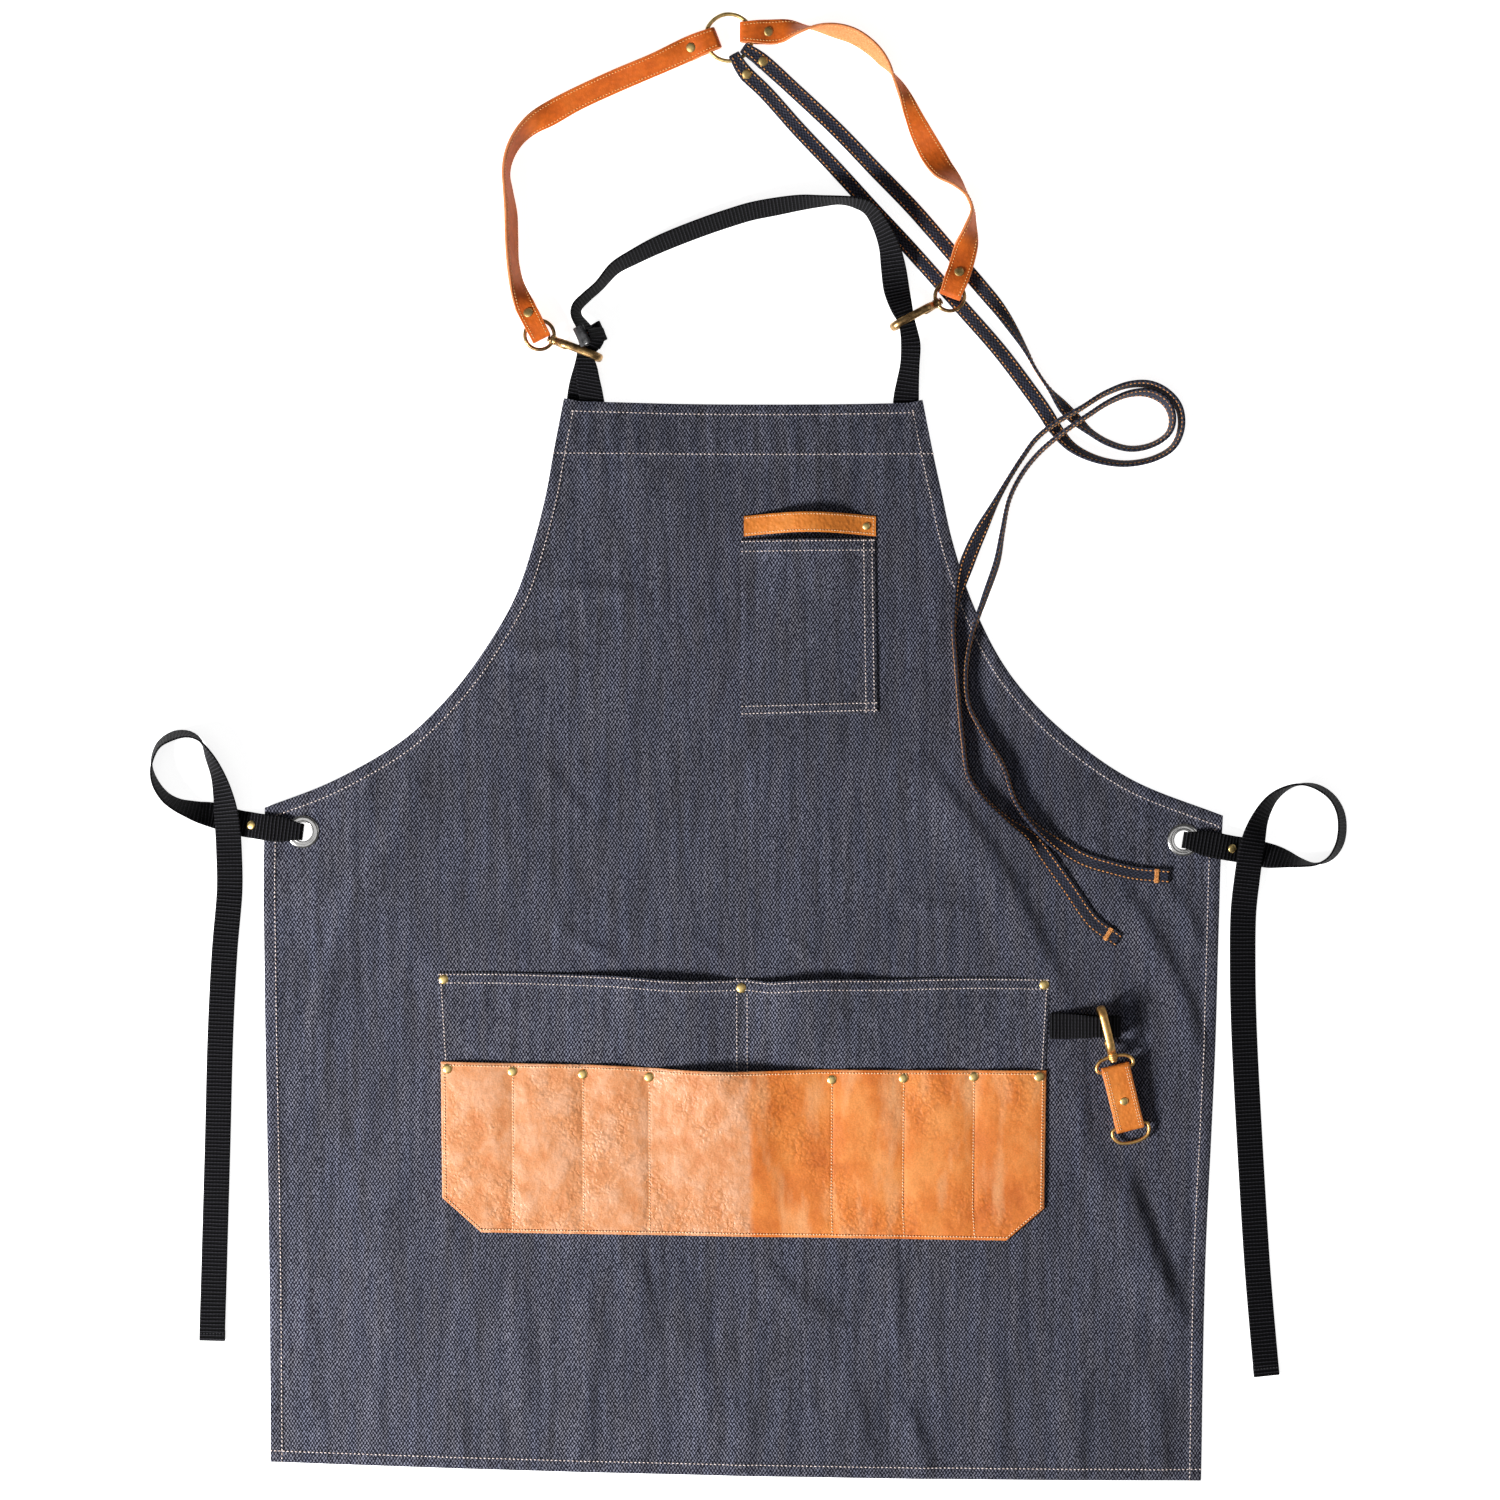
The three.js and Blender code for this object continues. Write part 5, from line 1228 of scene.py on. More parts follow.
webbing = webbing_finish("black_webbing")
black_thread = thread_finish("black_thread", (0.03, 0.03, 0.034), (0.01, 0.01, 0.012))
for side, rows in (("left", LEFT_TIE), ("right", RIGHT_TIE)):
    run = lay(rows, WEBBING_WIDTH, WEBBING)
    spot, out = spot_at(run, TIE_RIVET)
    rivet_spots.append((*(spot + out * (WEBBING / 2 + CAP_STAND)), out, TIE_CAP))
    folded = fold_end(fold_start(run, WEBBING, **TIE_FOLD), WEBBING, **END_HEM)
    tie = strap_piece(f"{side}_tie_webbing", folded, WEBBING, [webbing] * 3)
    fit(tie, "webbing", f"{side}_tie")
    end = len(run["point"]) - 3
    seam = run["point"][end] + np.linspace(-8, 8, 9)[:, None] * run["side"][end]
    seam = seam + np.array([0, 0, WEBBING / 2 + THREAD_STAND])
    end_seam = stitched(f"{side}_tie_seam", [seam], TIE_STITCH, black_thread)
    fit(end_seam, "webbing")


# Yoke ring: a plain round ring of dulled brass wire with its ends welded, that all four yoke straps are
# folded round.
RING_PLACE = np.array([-14.0, 525.0, 4.2])
RING_RADIUS = 17.3
RING_WIRE = 1.5
dull_brass = metal_finish("dull_brass", (0.62, 0.45, 0.19), (0.36, 0.25, 0.09), 0.52, 0.34)


def tube(path, across, along_up, up, closed=False, sides=12):
    """A wire swept along a flat path. across is its half size in the path's plane, along_up its half
    size out of that plane, and both may be given for each point."""
    path = np.asarray(path, float)
    count = len(path)
    if closed:
        run = np.roll(path, -1, 0) - np.roll(path, 1, 0)
    else:
        run = np.gradient(path, axis=0)
    up = np.broadcast_to(np.asarray(up, float), path.shape)
    out = unit(np.cross(unit(run), up))
    angles = np.linspace(0, 2 * np.pi, sides, endpoint=False)
    across = np.broadcast_to(across, count)[:, None, None]
    along_up = np.broadcast_to(along_up, count)[:, None, None]
    points = path[:, None] + out[:, None] * np.cos(angles)[None, :, None] * across
    points = points + up[:, None] * np.sin(angles)[None, :, None] * along_up
    base = np.arange(count * sides).reshape(count, sides)
    here = base if closed else base[:-1]
    there = np.roll(base, -1, 0) if closed else base[1:]
    faces = list(ring_quads(here, there)[:, ::-1])
    if not closed:
        faces += [base[0], base[-1][::-1]]
    return points.reshape(-1, 3), faces


def joined(*shapes):
    """Several shapes' points and faces as one."""
    points, faces = [], []
    for shape_points, shape_faces in shapes:
        start = len(points)
        points += list(shape_points)
        faces += [[int(v) + start for v in face] for face in shape_faces]
    return np.array(points), faces


def circle(centre, radius, count=72):
    turns = np.linspace(0, 2 * np.pi, count, endpoint=False)
    return np.asarray(centre) + radius * np.column_stack([np.cos(turns), np.sin(turns), np.zeros(count)])


def wire_ring(path, wire):
    """A closed ring of round wire along a level path."""
    return tube(path, wire, wire, (0, 0, 1), closed=True)


yoke_ring = make_piece("yoke_ring", *wire_ring(circle(RING_PLACE, RING_RADIUS), RING_WIRE), [dull_brass])
fit(yoke_ring, "brass", "o_ring")


# Leather yoke straps: smooth orange bridle leather with a pale cut edge and flesh side, sewn close along
# both edges. Each is folded round the yoke ring at one end and round a hook's ring at the other.
STRAP_LEATHER = 2.0
STRAP_LEATHER_WIDTH = 18.0
LEFT_LEATHER = [
    (-25.5, 524, 0, 6, 16), (-34, 520.7, 0, 6, 17), (-42, 517.5, 0, 3.4), (-67, 506, -20, 0.2, 17),
    (-99.5, 492.3, -14, 0, 17), (-128.5, 478.8, -14, 0, 17), (-146, 469, -20, 0),
    (-159, 461, -44, 0), (-169, 451, -62, 0), (-176, 438, -73, 0), (-178.5, 425, -78, 0),
    (-177, 411, -73, 0), (-175, 395, -65, 0), (-174.5, 378, -64, 0), (-173.5, 358, -66, 0),
    (-171, 344, -54, 1, 16), (-167, 332, -28, 4.5, 15), (-163, 323, 0, 8.4, 15),
    (-159.4, 316, 0, 10.7, 15), (-153.6, 304.8, 0, 10.7, 14.5),
]
RIGHT_LEATHER = [
    (-2.4, 529, 0, 6, 15), (6.6, 529, 0, 6, 17), (15, 529.2, 0, 3.4), (24, 529.8, -8, 2),
    (37, 531, -56, 0.4), (50, 531.5, -90, 0), (65, 529.5, -114, 0), (79, 525, -118, 0),
    (93, 515, -113, 0), (101.5, 505, -102, 0), (107.5, 496.5, -80, 0, 14), (114.5, 485, -42, 0, 11),
    (121, 471, -2, 0, 12.5), (127.5, 456, 12, 0, 16), (135.5, 441, 0, 0), (144, 427.5, -24, 0),
    (154, 417.5, -60, 0), (162, 407, -84, 0), (166, 396, -82, 0.5), (164, 382, -54, 3),
    (160.5, 368, -14, 5.5), (156.5, 353.5, 0, 8.4), (153.8, 346, 0, 10.7),
    (150, 336, 0, 10.7, 16.5),
]
SWIVEL_WIRE = 1.4
RING_FOLD = {"gap": 2 * RING_WIRE + 0.6, "hold": 8.5, "pinch": 15, "tail": 25}
HOOK_FOLD = {"gap": 2 * SWIVEL_WIRE + 0.7, "hold": 10.5, "pinch": 16, "tail": 26}
STRAP_RIVET = 17.5
BRIDLE_INSET = 2.3
BRIDLE_STITCH = (2.4, 1.8, 0.85)
BRIDLE_ORANGE = ((0.56, 0.095, 0.007), (0.74, 0.142, 0.012), (0.84, 0.20, 0.028))


def flesh_finish(name, deep, pale):
    """The rough, napped side and the cut edge of leather."""
    material, tree, surface, coords = shader(name)
    nap = noise(tree, coords, (700, 700, 700), 3.0, 0.7)
    bumped(tree, surface, nap, 0.0006, 0.5)
    feed(tree, surface, {"Base Color": ramp(tree, nap, (0.35, deep), (0.65, pale)), "Roughness": 0.85})
    return material


bridle = leather_finish("bridle_leather", *BRIDLE_ORANGE, 0.45, 0.48, "UV")
flesh = flesh_finish("flesh_side", (0.72, 0.205, 0.050), (0.91, 0.345, 0.135))
amber_thread = thread_finish("amber_thread", (1.0, 0.60, 0.24), (0.80, 0.36, 0.10))
yoke_spots = []
for side, rows in (("left", LEFT_LEATHER), ("right", RIGHT_LEATHER)):
    run = lay(rows, STRAP_LEATHER_WIDTH, STRAP_LEATHER)
    for way in (run, turned(run)):
        spot, out = spot_at(way, STRAP_RIVET)
        out = out * math.copysign(1, out[2])
        yoke_spots.append((*(spot + out * (STRAP_LEATHER / 2 + CAP_STAND)), out, CAP))
    folded = fold_end(fold_start(run, STRAP_LEATHER, **RING_FOLD), STRAP_LEATHER, **HOOK_FOLD)
    yoke = strap_piece(f"{side}_bridle_strap", folded, STRAP_LEATHER, [bridle, flesh, flesh], 0.12)
    fit(yoke, "leather", f"{side}_leather_strap")
    lines = strap_lines(run, STRAP_LEATHER, BRIDLE_INSET)
    yoke_seams = stitched(f"{side}_bridle_seams", lines, BRIDLE_STITCH, amber_thread)
    fit(yoke_seams, "leather")


# Denim yoke straps: strips of the panel's denim folded into narrow flat bands and topstitched in orange
# along both edges. They are folded round the yoke ring and riveted, and their far ends lie loose.
STRAP_DENIM = 1.8
STRAP_DENIM_WIDTH = 11.0
BIB_SIDE = 150.0
LEFT_DENIM = [
    (-9, 509.8, 0, 6, 8.4), (-6, 504.6, 0, 6, 9.5), (-1, 498, 0, 3.2), (12, 486, 0, 0.2),
    (38, 457, 0, 0), (65.5, 428, 0, 0), (92, 399, 0, 0), (120, 369, 0, 0), (158, 326, 0, 0),
    (186, 294, 0, 0), (208, 265, 0, 0), (220, 248, 0, 0), (228, 235, -24, 0), (239, 222.5, -46, 0),
    (257, 213.5, -60, 0), (279, 210, -68, 0), (300.5, 214, -72, 0), (314, 222.5, -74, 0),
    (320, 236.5, -74, 0), (318.5, 251, -72, 0), (310.5, 261.5, -70, 0), (297.5, 268.3, -70, 0),
    (282.5, 268.5, -74, 1), (263.5, 261.5, -78, 6), (245, 250, -80, 10), (226, 239, -80, 8.5),
    (213, 228.5, -80, 2.5), (203, 215, -80, 0), (191, 196, -78, 0), (180.5, 177, -64, 0),
    (169, 154, -24, 0.8), (161, 134, -14, 2.2), (154, 108, -58, 1.8, 8), (152, 86, -80, 1.6, 7),
    (154, 58, -84, 1.6, 7), (156.5, 26, -84, 1.6, 7), (159, 3, -84, 1.6, 7),
    (163, -21, -80, 1.6, 7.5), (173, -36, -74, 1.6, 8), (191, -53, -64, 1.6, 9),
    (209, -66, -36, 1.8), (219, -79, -6, 1.9), (237, -104, 0, 1.5), (255, -129, 0, 1.5),
    (273, -142, 0, 1.5),
]
RIGHT_DENIM = [
    (-0.8, 515.8, 0, 6, 8.4), (4.2, 512.5, 0, 6, 9.5), (11, 507.5, 0, 3.2), (34, 487, 0, 0.2),
    (66, 457, 0, 0), (94, 428, 0, 0), (123, 398, 0, 0), (149, 368, 0, 0), (174, 339, 0, 0),
    (186, 324, -24, 0), (196, 309, -50, 0), (205, 294, -72, 0), (213, 279, -84, 0),
    (223, 264.5, -76, 0), (234, 251, -36, 0), (242, 243, -36, 0), (252, 234, -62, 0),
    (266, 225.5, -66, 0), (283, 221, -70, 0), (300, 224.5, -75, 0), (311, 233, -76, 0),
    (313.5, 244, -72, 0), (309, 255, -66, 0), (297.5, 262, -64, 0), (283.5, 262, -72, 1),
    (267, 255.5, -78, 6), (250.5, 245, -80, 10), (229, 230, -80, 9.5), (214.5, 217.5, -80, 3),
    (202.5, 202.5, -80, 0), (193, 183.5, -80, 0), (188, 160, -76, 0), (184, 138, -68, 0),
    (174, 109, -66, 2.0, 9), (165, 82, -80, 1.6, 7.5), (161, 56, -84, 1.6, 7),
    (163, 32, -84, 1.6, 7), (173, 12, -82, 1.6, 7), (188, -12, -80, 1.6, 7.5),
    (198, -40, -80, 1.6, 8), (211, -57, -62, 1.8, 9), (230, -72, -26, 1.8), (248, -82.5, 0, 1.6),
    (267, -88.5, 0, 1.5), (286, -93, 0, 1.5), (310, -95, 0, 1.5),
]
DENIM_FOLD = {"gap": 2 * RING_WIRE + 0.6, "hold": 5, "pinch": 10.5, "tail": 19}
DENIM_RIVET = 14
BAND_INSET = 1.9
STRAP_STITCH = (3.2, 2.4, 1.15)
TACK_STITCH = (1.0, 1.5, 1.9)
TACK_ROW = -4
TACK_HALF = 4.6
STRAP_BLUE = ((0.008, 0.009, 0.016), (0.024, 0.026, 0.040), (0.056, 0.060, 0.086))


def strap_ground(x, y):
    return 0.16 + panel_height(x, y) * fade(y, BIB_SIDE - 40, BIB_SIDE)


strap_denim = denim_finish("strap_denim", *STRAP_BLUE, 0.2, "UV")
orange_thread = thread_finish("orange_thread", (0.86, 0.38, 0.11), (0.46, 0.17, 0.04))
for side, rows in (("left", LEFT_DENIM), ("right", RIGHT_DENIM)):
    run = lay(rows, STRAP_DENIM_WIDTH, STRAP_DENIM, strap_ground)
    spot, out = spot_at(run, DENIM_RIVET)
    yoke_spots.append((*(spot + out * (STRAP_DENIM / 2 + CAP_STAND)), out, CAP))
    folded = fold_start(run, STRAP_DENIM, **DENIM_FOLD)
    yoke = strap_piece(f"{side}_denim_band", folded, STRAP_DENIM, [strap_denim] * 3, 0.15)
    fit(yoke, "denim", f"{side}_denim_strap")
    lines = strap_lines(run, STRAP_DENIM, BAND_INSET)
    band_threads = stitched(f"{side}_denim_threads", lines, STRAP_STITCH, orange_thread)
    fit(band_threads, "denim")
    tack = run["point"][TACK_ROW] + np.linspace(-TACK_HALF, TACK_HALF, 8)[:, None] * run["side"][TACK_ROW]
    slant = facing_of(run)[0][TACK_ROW]
    tack_lines = [tack + np.array([0, 0, STRAP_DENIM / 2 + 0.25]) + step * slant for step in (-0.9, 0, 0.9)]
    bar_tack = stitched(f"{side}_bar_tack", tack_lines, TACK_STITCH, orange_thread)
    fit(bar_tack, "denim")


# Neck strap: one length of the same webbing from behind the bib's right corner through the right hook,
# round the neck, through the slider and the left hook, to behind the bib's left corner. A short tab of
# webbing is folded round the slider's middle bar and lies along the strap to the bib.
NECK = [
    (117, 238, 0, 0.1), (117, 258, 0, 0.1), (118, 269, -8, 2.4, 17), (119.5, 283, -12, 6, 14.5),
    (120, 297, -8, 9.8, 14.5), (118.6, 307, -2, 11.6, 13), (116.6, 315.5, 0, 11.9, 12.5),
    (113.6, 324, 0, 10, 16), (110, 338, 0, 3.5), (107.5, 354, -18, 2.6), (104.5, 369, -40, 2.6),
    (98, 385, -56, 2.6), (89, 398, -66, 2.6), (79.5, 402, -74, 2.4), (68, 404, -80, 1),
    (53, 403.5, -72, 0), (39, 402.5, -62, 0), (20, 399.5, -55, 0), (2, 396, -54, 0),
    (-13, 391.5, -54, 0), (-35, 384, -54, 0), (-65, 372, -56, 0), (-85, 362, -62, 0),
    (-98.5, 354, -68, 0), (-110, 341, -74, 0), (-119.5, 332.5, -74, 0.3), (-126, 325.5, -72, 0.6),
    (-126.5, 319.5, -68, 1.4), (-122.5, 312.5, -62, 2.8), (-116.8, 304.8, -56, 4.2),
    (-115.8, 299.8, -38, 6.6, 17), (-117.8, 296, -14, 9.2, 14), (-119.8, 291.8, 0, 10.4, 12),
    (-120.4, 281, 0, 8.2, 16), (-122.5, 269, 0, 2.8), (-124.5, 258, 0, 0.1), (-126, 238, 0, 0.1),
]
SLIDER_ROW = 29
TAB_RISE = WEBBING + PLAY
TAB_FAN = 11.0
SLIDER_BAR = 2.4
SLIDER_PLAY = 0.7
TAB_FOLD = {"gap": SLIDER_BAR + 2 * SLIDER_PLAY, "hold": 3, "pinch": 7, "tail": 9, "way": 1}

neck = lay(NECK, WEBBING_WIDTH, WEBBING)
neck_strap = strap_piece("neck_webbing", neck, WEBBING, [webbing] * 3)
fit(neck_strap, "webbing", "neck_strap")

tab_part = {key: part[neck["row"] >= SLIDER_ROW] for key, part in neck.items()}
fan = TAB_FAN * (1 - ease((len(NECK) - 1 - tab_part["row"]) / 4))
tab_lift = facing_of(tab_part)[1] * TAB_RISE + tab_part["side"] * fan[:, None]
tab_run = fold_end(turned({**tab_part, "point": tab_part["point"] + tab_lift}), WEBBING, **TAB_FOLD)
tab = strap_piece("slider_webbing", tab_run, WEBBING, [webbing] * 3)
fit(tab, "webbing", "slider_tab")


# Slider: a moulded frame of glossy black plastic on the neck strap, with two bars under the strap and one
# over it that carries the tab.
SLIDER_LENGTH = 13.0
BAR_RISE = TAB_RISE + WEBBING / 2 + SLIDER_PLAY + SLIDER_BAR / 2
BAR_DROP = WEBBING / 2 + SLIDER_PLAY + SLIDER_BAR / 2
BAR_LENGTH = WEBBING_WIDTH + 5
RAIL_PLACE = WEBBING_WIDTH / 2 + 1.7


def rounded_bar(size, centre, radius):
    """A moulded bar: a rounded rectangle run along its longest way, with eased ends."""
    size, order = np.array(size, float), np.argsort(size)[::-1]
    length, wide, high = size[order]
    corner = np.linspace(0, np.pi / 2, 4)
    quarter = np.column_stack([np.cos(corner), np.sin(corner)])
    ring = []
    for turn in range(4):
        c, s = round(math.cos(turn * math.pi / 2)), round(math.sin(turn * math.pi / 2))
        ring.append(quarter @ np.array([[c, s], [-s, c]]))
    ring = np.vstack(ring)
    core = np.sign(np.round(ring, 6) + np.array([1e-9, 1e-9])) * (np.array([wide, high]) / 2 - radius)
    stations = []
    for place, shrink in ((0, 0.9), (0.15, 0.45), (0.5, 0.12), (1, 0)):
        stations.append((place * radius, core + ring * radius * (1 - shrink)))
    rows = [(-length / 2 + run, section) for run, section in stations]
    rows += [(length / 2 - run, section) for run, section in stations[::-1]]
    local = np.vstack([np.column_stack([np.full(len(ring), run), section]) for run, section in rows])
    points = np.zeros_like(local)
    points[:, order] = local
    base = np.arange(len(rows) * len(ring)).reshape(len(rows), len(ring))
    faces = [list(face) for face in ring_quads(base[:-1], base[1:])]
    faces += [list(base[0][::-1]), list(base[-1])]
    if np.linalg.det(np.eye(3)[:, order]) < 0:
        faces = [face[::-1] for face in faces]
    return points + np.asarray(centre), faces


def plastic_finish(name, colour, scuffed):
    """Moulded plastic: nearly smooth, with a faint orange-peel and rubbed patches."""
    material, tree, surface, coords = shader(name)
    rub = noise(tree, coords, (260, 260, 260), 4.0, 0.6)
    shade = ramp(tree, rub, (0.4, colour), (0.75, scuffed))
    polish = ramp(tree, rub, (0.3, 0.22), (0.75, 0.4))
    bumped(tree, surface, noise(tree, coords, (800, 800, 800), 1.0), 0.0003, 0.2)
    feed(tree, surface, {"Base Color": shade, "Roughness": polish})
    return material


black_plastic = plastic_finish("black_plastic", (0.006, 0.006, 0.007), (0.03, 0.03, 0.034))
middle = int(np.argmin(abs(neck["row"] - SLIDER_ROW)))
slider_along, slider_out = (ways[middle] for ways in facing_of(neck))
slider_turn = np.column_stack([slider_along, neck["side"][middle], slider_out])
rail_height = BAR_RISE + BAR_DROP + SLIDER_BAR
frame_bars = []
for run, height in ((SLIDER_LENGTH / 2, -BAR_DROP), (-SLIDER_LENGTH / 2, -BAR_DROP), (0, BAR_RISE)):
    frame_bars.append(rounded_bar((SLIDER_BAR, BAR_LENGTH, SLIDER_BAR), (run, 0, height), 1.0))
for end in (-1, 1):
    rail = (SLIDER_LENGTH + SLIDER_BAR, SLIDER_BAR - 0.4, rail_height)
    frame_bars.append(rounded_bar(rail, (0, end * RAIL_PLACE, (BAR_RISE - BAR_DROP) / 2), 0.9))
slider_points, slider_faces = joined(*frame_bars)
slider_points = slider_points @ slider_turn.T + neck["point"][middle]
slider = make_piece("slider_frame", slider_points, slider_faces, [black_plastic], sharp=60)
fit(slider, "plastic", "neck_slider")


# Snap hooks: cast antique brass, brighter and more golden on the tool keeper's. A ring turns in the
# hook's collar, and the hook's back bar bends round into a nose that a spring gate closes. The gate
# turns on a pin at the collar.
SWIVEL_RADIUS = 10.8
HOOK_AXIS_HEIGHT = 8.9
HOOK_MIDDLE = 7.0
HOOK_WIRE = 1.75
HOOK_PLATE_HALF = 3.0
HOOK_BOW = 30.3
NOSE_START = 27.0
COLLAR_RADIUS = 3.4
COLLAR_HALF = 2.5
SHANK_RADIUS = 1.7
GATE_PIVOT = (11.5, -6.5)
GATE_TIP = (28.2, -3.9)
ASIDE = np.array([0.0, 1.0, 0.0])
AHEAD = (1.0, 0.0, 0.0)
brass = metal_finish("antique_brass", (0.72, 0.45, 0.19), (0.20, 0.115, 0.05), 0.33, 0.42)
golden_brass = metal_finish("golden_brass", (1.0, 0.61, 0.22), (0.60, 0.32, 0.10), 0.40, 0.36)


def swivel_turn(heading, pitch=0.0):
    """The turn of a hook that points along a heading and dips by a pitch, in degrees."""
    c, s = math.cos(math.radians(heading)), math.sin(math.radians(heading))
    d, u = math.cos(math.radians(pitch)), math.sin(math.radians(pitch))
    return np.array([[c, -s, 0], [s, c, 0], [0, 0, 1]]) @ np.array([[d, 0, u], [0, 1, 0], [-u, 0, d]])


def stand(path):
    """A path drawn as x and height, stood up in the hook's plane."""
    path = np.asarray(path, float)
    return np.column_stack([path[:, 0], np.zeros(len(path)), path[:, 1]])


def smooth_path(knots, steps=6):
    return spline(knots, np.linspace(0, len(knots) - 1, steps * (len(knots) - 1) + 1))


def blunt(count, first=0.35, last=0.35):
    """Size factors along a rod whose two ends are rounded over."""
    factors = np.ones(count)
    factors[:3] = (first, max(first, 0.8), max(first, 0.96))
    factors[-3:] = (max(last, 0.96), max(last, 0.8), last)
    return factors


def hook_shape():
    bend = np.linspace(np.pi / 2, -np.pi / 2, 19)
    bow = np.column_stack([HOOK_BOW + HOOK_MIDDLE * np.cos(bend), HOOK_MIDDLE * np.sin(bend)])
    back = smooth_path([(2.6, 0.5), (4.6, 3.6), (8, 6.4), (13, 7.05), (20, 7)], 5)
    run = np.vstack([back, np.column_stack([np.linspace(21.5, 29.5, 6), np.full(6, HOOK_MIDDLE)]), bow])
    nose = np.column_stack([[29.4, 28.5, 27.7, 27.25, NOSE_START], np.full(5, -HOOK_MIDDLE)])
    run = stand(np.vstack([run, nose]))
    ends = blunt(len(run), 0.9, 0.4)
    body = tube(run, HOOK_WIRE * ends, HOOK_PLATE_HALF * ends, ASIDE)
    leg = stand(smooth_path([(2.6, -0.5), (4.6, -3.0), (6.8, -5.6), (9.2, -7.0), (11.6, -7.3)], 4))
    leg_ends = blunt(len(leg), 0.9, 0.5)
    front = tube(leg, 1.45 * leg_ends, HOOK_PLATE_HALF * leg_ends, ASIDE)
    turned_end = [
        (0, -4.3), (1.9, -4.2), (2.6, -3.8), (2.6, -3.1), (SHANK_RADIUS, -2.9), (SHANK_RADIUS, 2.4),
        (2.9, 2.7), (3.3, 3.4), (2.9, 4.3), (1.4, 4.9), (0, 5.0),
    ]
    return joined(body, front, lathe(turned_end, (0, 0, 0), AHEAD, 20))


def collar_shape():
    bore = SHANK_RADIUS + 0.2
    barrel = [
        (bore, -COLLAR_HALF), (2.9, -COLLAR_HALF), (COLLAR_RADIUS, -2.0), (COLLAR_RADIUS, -1.2),
        (3.0, -0.7), (3.0, 0.7), (COLLAR_RADIUS, 1.2), (COLLAR_RADIUS, 2.0), (2.9, COLLAR_HALF),
        (bore, COLLAR_HALF), (bore, -COLLAR_HALF),
    ]
    return lathe(barrel, (0, 0, 0), AHEAD, 20)


def gate_shape():
    run = stand(np.linspace(GATE_PIVOT, GATE_TIP, 12))
    ends = blunt(12, 0.7, 0.5)
    bar = tube(run, 1.15 * ends, 1.3 * ends, ASIDE)
    pin = [(0, -2.1), (0.9, -2.0), (1.1, -1.7), (1.1, 1.7), (0.9, 2.0), (0, 2.1)]
    return joined(bar, lathe(pin, (GATE_PIVOT[0], 0, GATE_PIVOT[1]), ASIDE, 14))


def snap_hook(name, ring, place, turn):
    """The hook's three pieces: its ring with the collar, its body and its gate."""
    shapes = {"hook_ring": joined(ring, collar_shape()), "hook": hook_shape(), "hook_gate": gate_shape()}
    for part, (points, faces) in shapes.items():
        finish = golden_brass if name == "keeper" else brass
        made = make_piece(f"{name}_snap_{part}", points @ turn.T + place, faces, [finish], sharp=55)
        body = f"{name}_gate" if part == "hook_gate" else "apron"
        fit(made, "brass", f"{name}_{part}", body=body)


NECK_HOOKS = {"left": (-153.8, 304.8, -21.0), "right": (148.9, 333.3, 208.5)}
for side, (x, y, heading) in NECK_HOOKS.items():
    turn = swivel_turn(heading)
    place = np.array([x, y, HOOK_AXIS_HEIGHT]) + turn @ np.array([SWIVEL_RADIUS, 0, 0])
    round_ring = circle((-SWIVEL_RADIUS, 0, 0), SWIVEL_RADIUS, 48)
    snap_hook(side, wire_ring(round_ring, SWIVEL_WIRE), place, turn)


# Tool keeper: a loop of webbing caught in the lower pocket's side seam, a snap hook through the loop, and
# a stitched and riveted tab of tan leather between the hook's D and a loose D-ring for a tool.
KEEPER_WEBBING = [
    (223, -205.5, 0, 3.0), (235, -205.5, 0, 6), (248, -205.5, 0, 13.5, 17),
    (257, -205.5, 0, 15.7, 15.5), (267.4, -205.5, 0, 15.7, 15.5),
]
KEEPER_FOLD = {"gap": 13, "hold": 10, "pinch": 44, "tail": 44.5}
KEEPER_PLACE = np.array([269, -227.5, 10.7])
KEEPER_TURN = swivel_turn(104.0, -5.5)
KEEPER_WIRE = 1.3
KEEPER_BAR = -10.0
D_HALF = 13.6
D_REACH = 12.5
TAB_END = -53.5
TAB_WIDTH = 21.0
TAB_LEATHER = 1.8
TAB_TAN = ((0.58, 0.145, 0.018), (0.76, 0.215, 0.032), (0.88, 0.31, 0.065))
TAB_STITCH = (2.2, 1.6, 0.75)
TAB_RIVET = -34
TAB_CAP = 3.2

loop_run = lay(KEEPER_WEBBING, WEBBING_WIDTH, WEBBING)
loop = fold_end(loop_run, WEBBING, **KEEPER_FOLD)
tail_start = len(loop_run["point"]) + BEND_POINTS
loop["point"][tail_start:, 2] = DENIM + PLAY + WEBBING / 2
keeper_loop = strap_piece("keeper_loop", loop, WEBBING, [webbing] * 3)
fit(keeper_loop, "webbing", "keeper_webbing")


def d_path(bar, bow):
    """The round-shouldered D that its wire follows, with its straight bar across at bar."""
    deep = bow - bar
    half = [(bar, 0.0), (bar, 0.8), (bar + 0.12 * deep, 0.98)]
    half += [(bar + 0.45 * deep, 1.0), (bar + 0.84 * deep, 0.74), (bow, 0.0)]
    around = half + [(x, -y) for x, y in half[-2:0:-1]]
    knots = np.array([(x, y * D_HALF) for x, y in around])
    wrapped = np.vstack([knots[-3:], knots, knots[:3]])
    path = spline(wrapped, 3 + np.arange(0, len(knots), 0.125))
    return np.column_stack([path, np.zeros(len(path))])


keeper_ring = wire_ring(d_path(KEEPER_BAR, 0.0), KEEPER_WIRE)
snap_hook("keeper", keeper_ring, KEEPER_PLACE, KEEPER_TURN)
points, faces = wire_ring(d_path(TAB_END, TAB_END - D_REACH), KEEPER_WIRE)
drop_ring = make_piece("keeper_d_ring", points @ KEEPER_TURN.T + KEEPER_PLACE, faces, [golden_brass])
fit(drop_ring, "brass", "tool_ring", body="drop_ring")

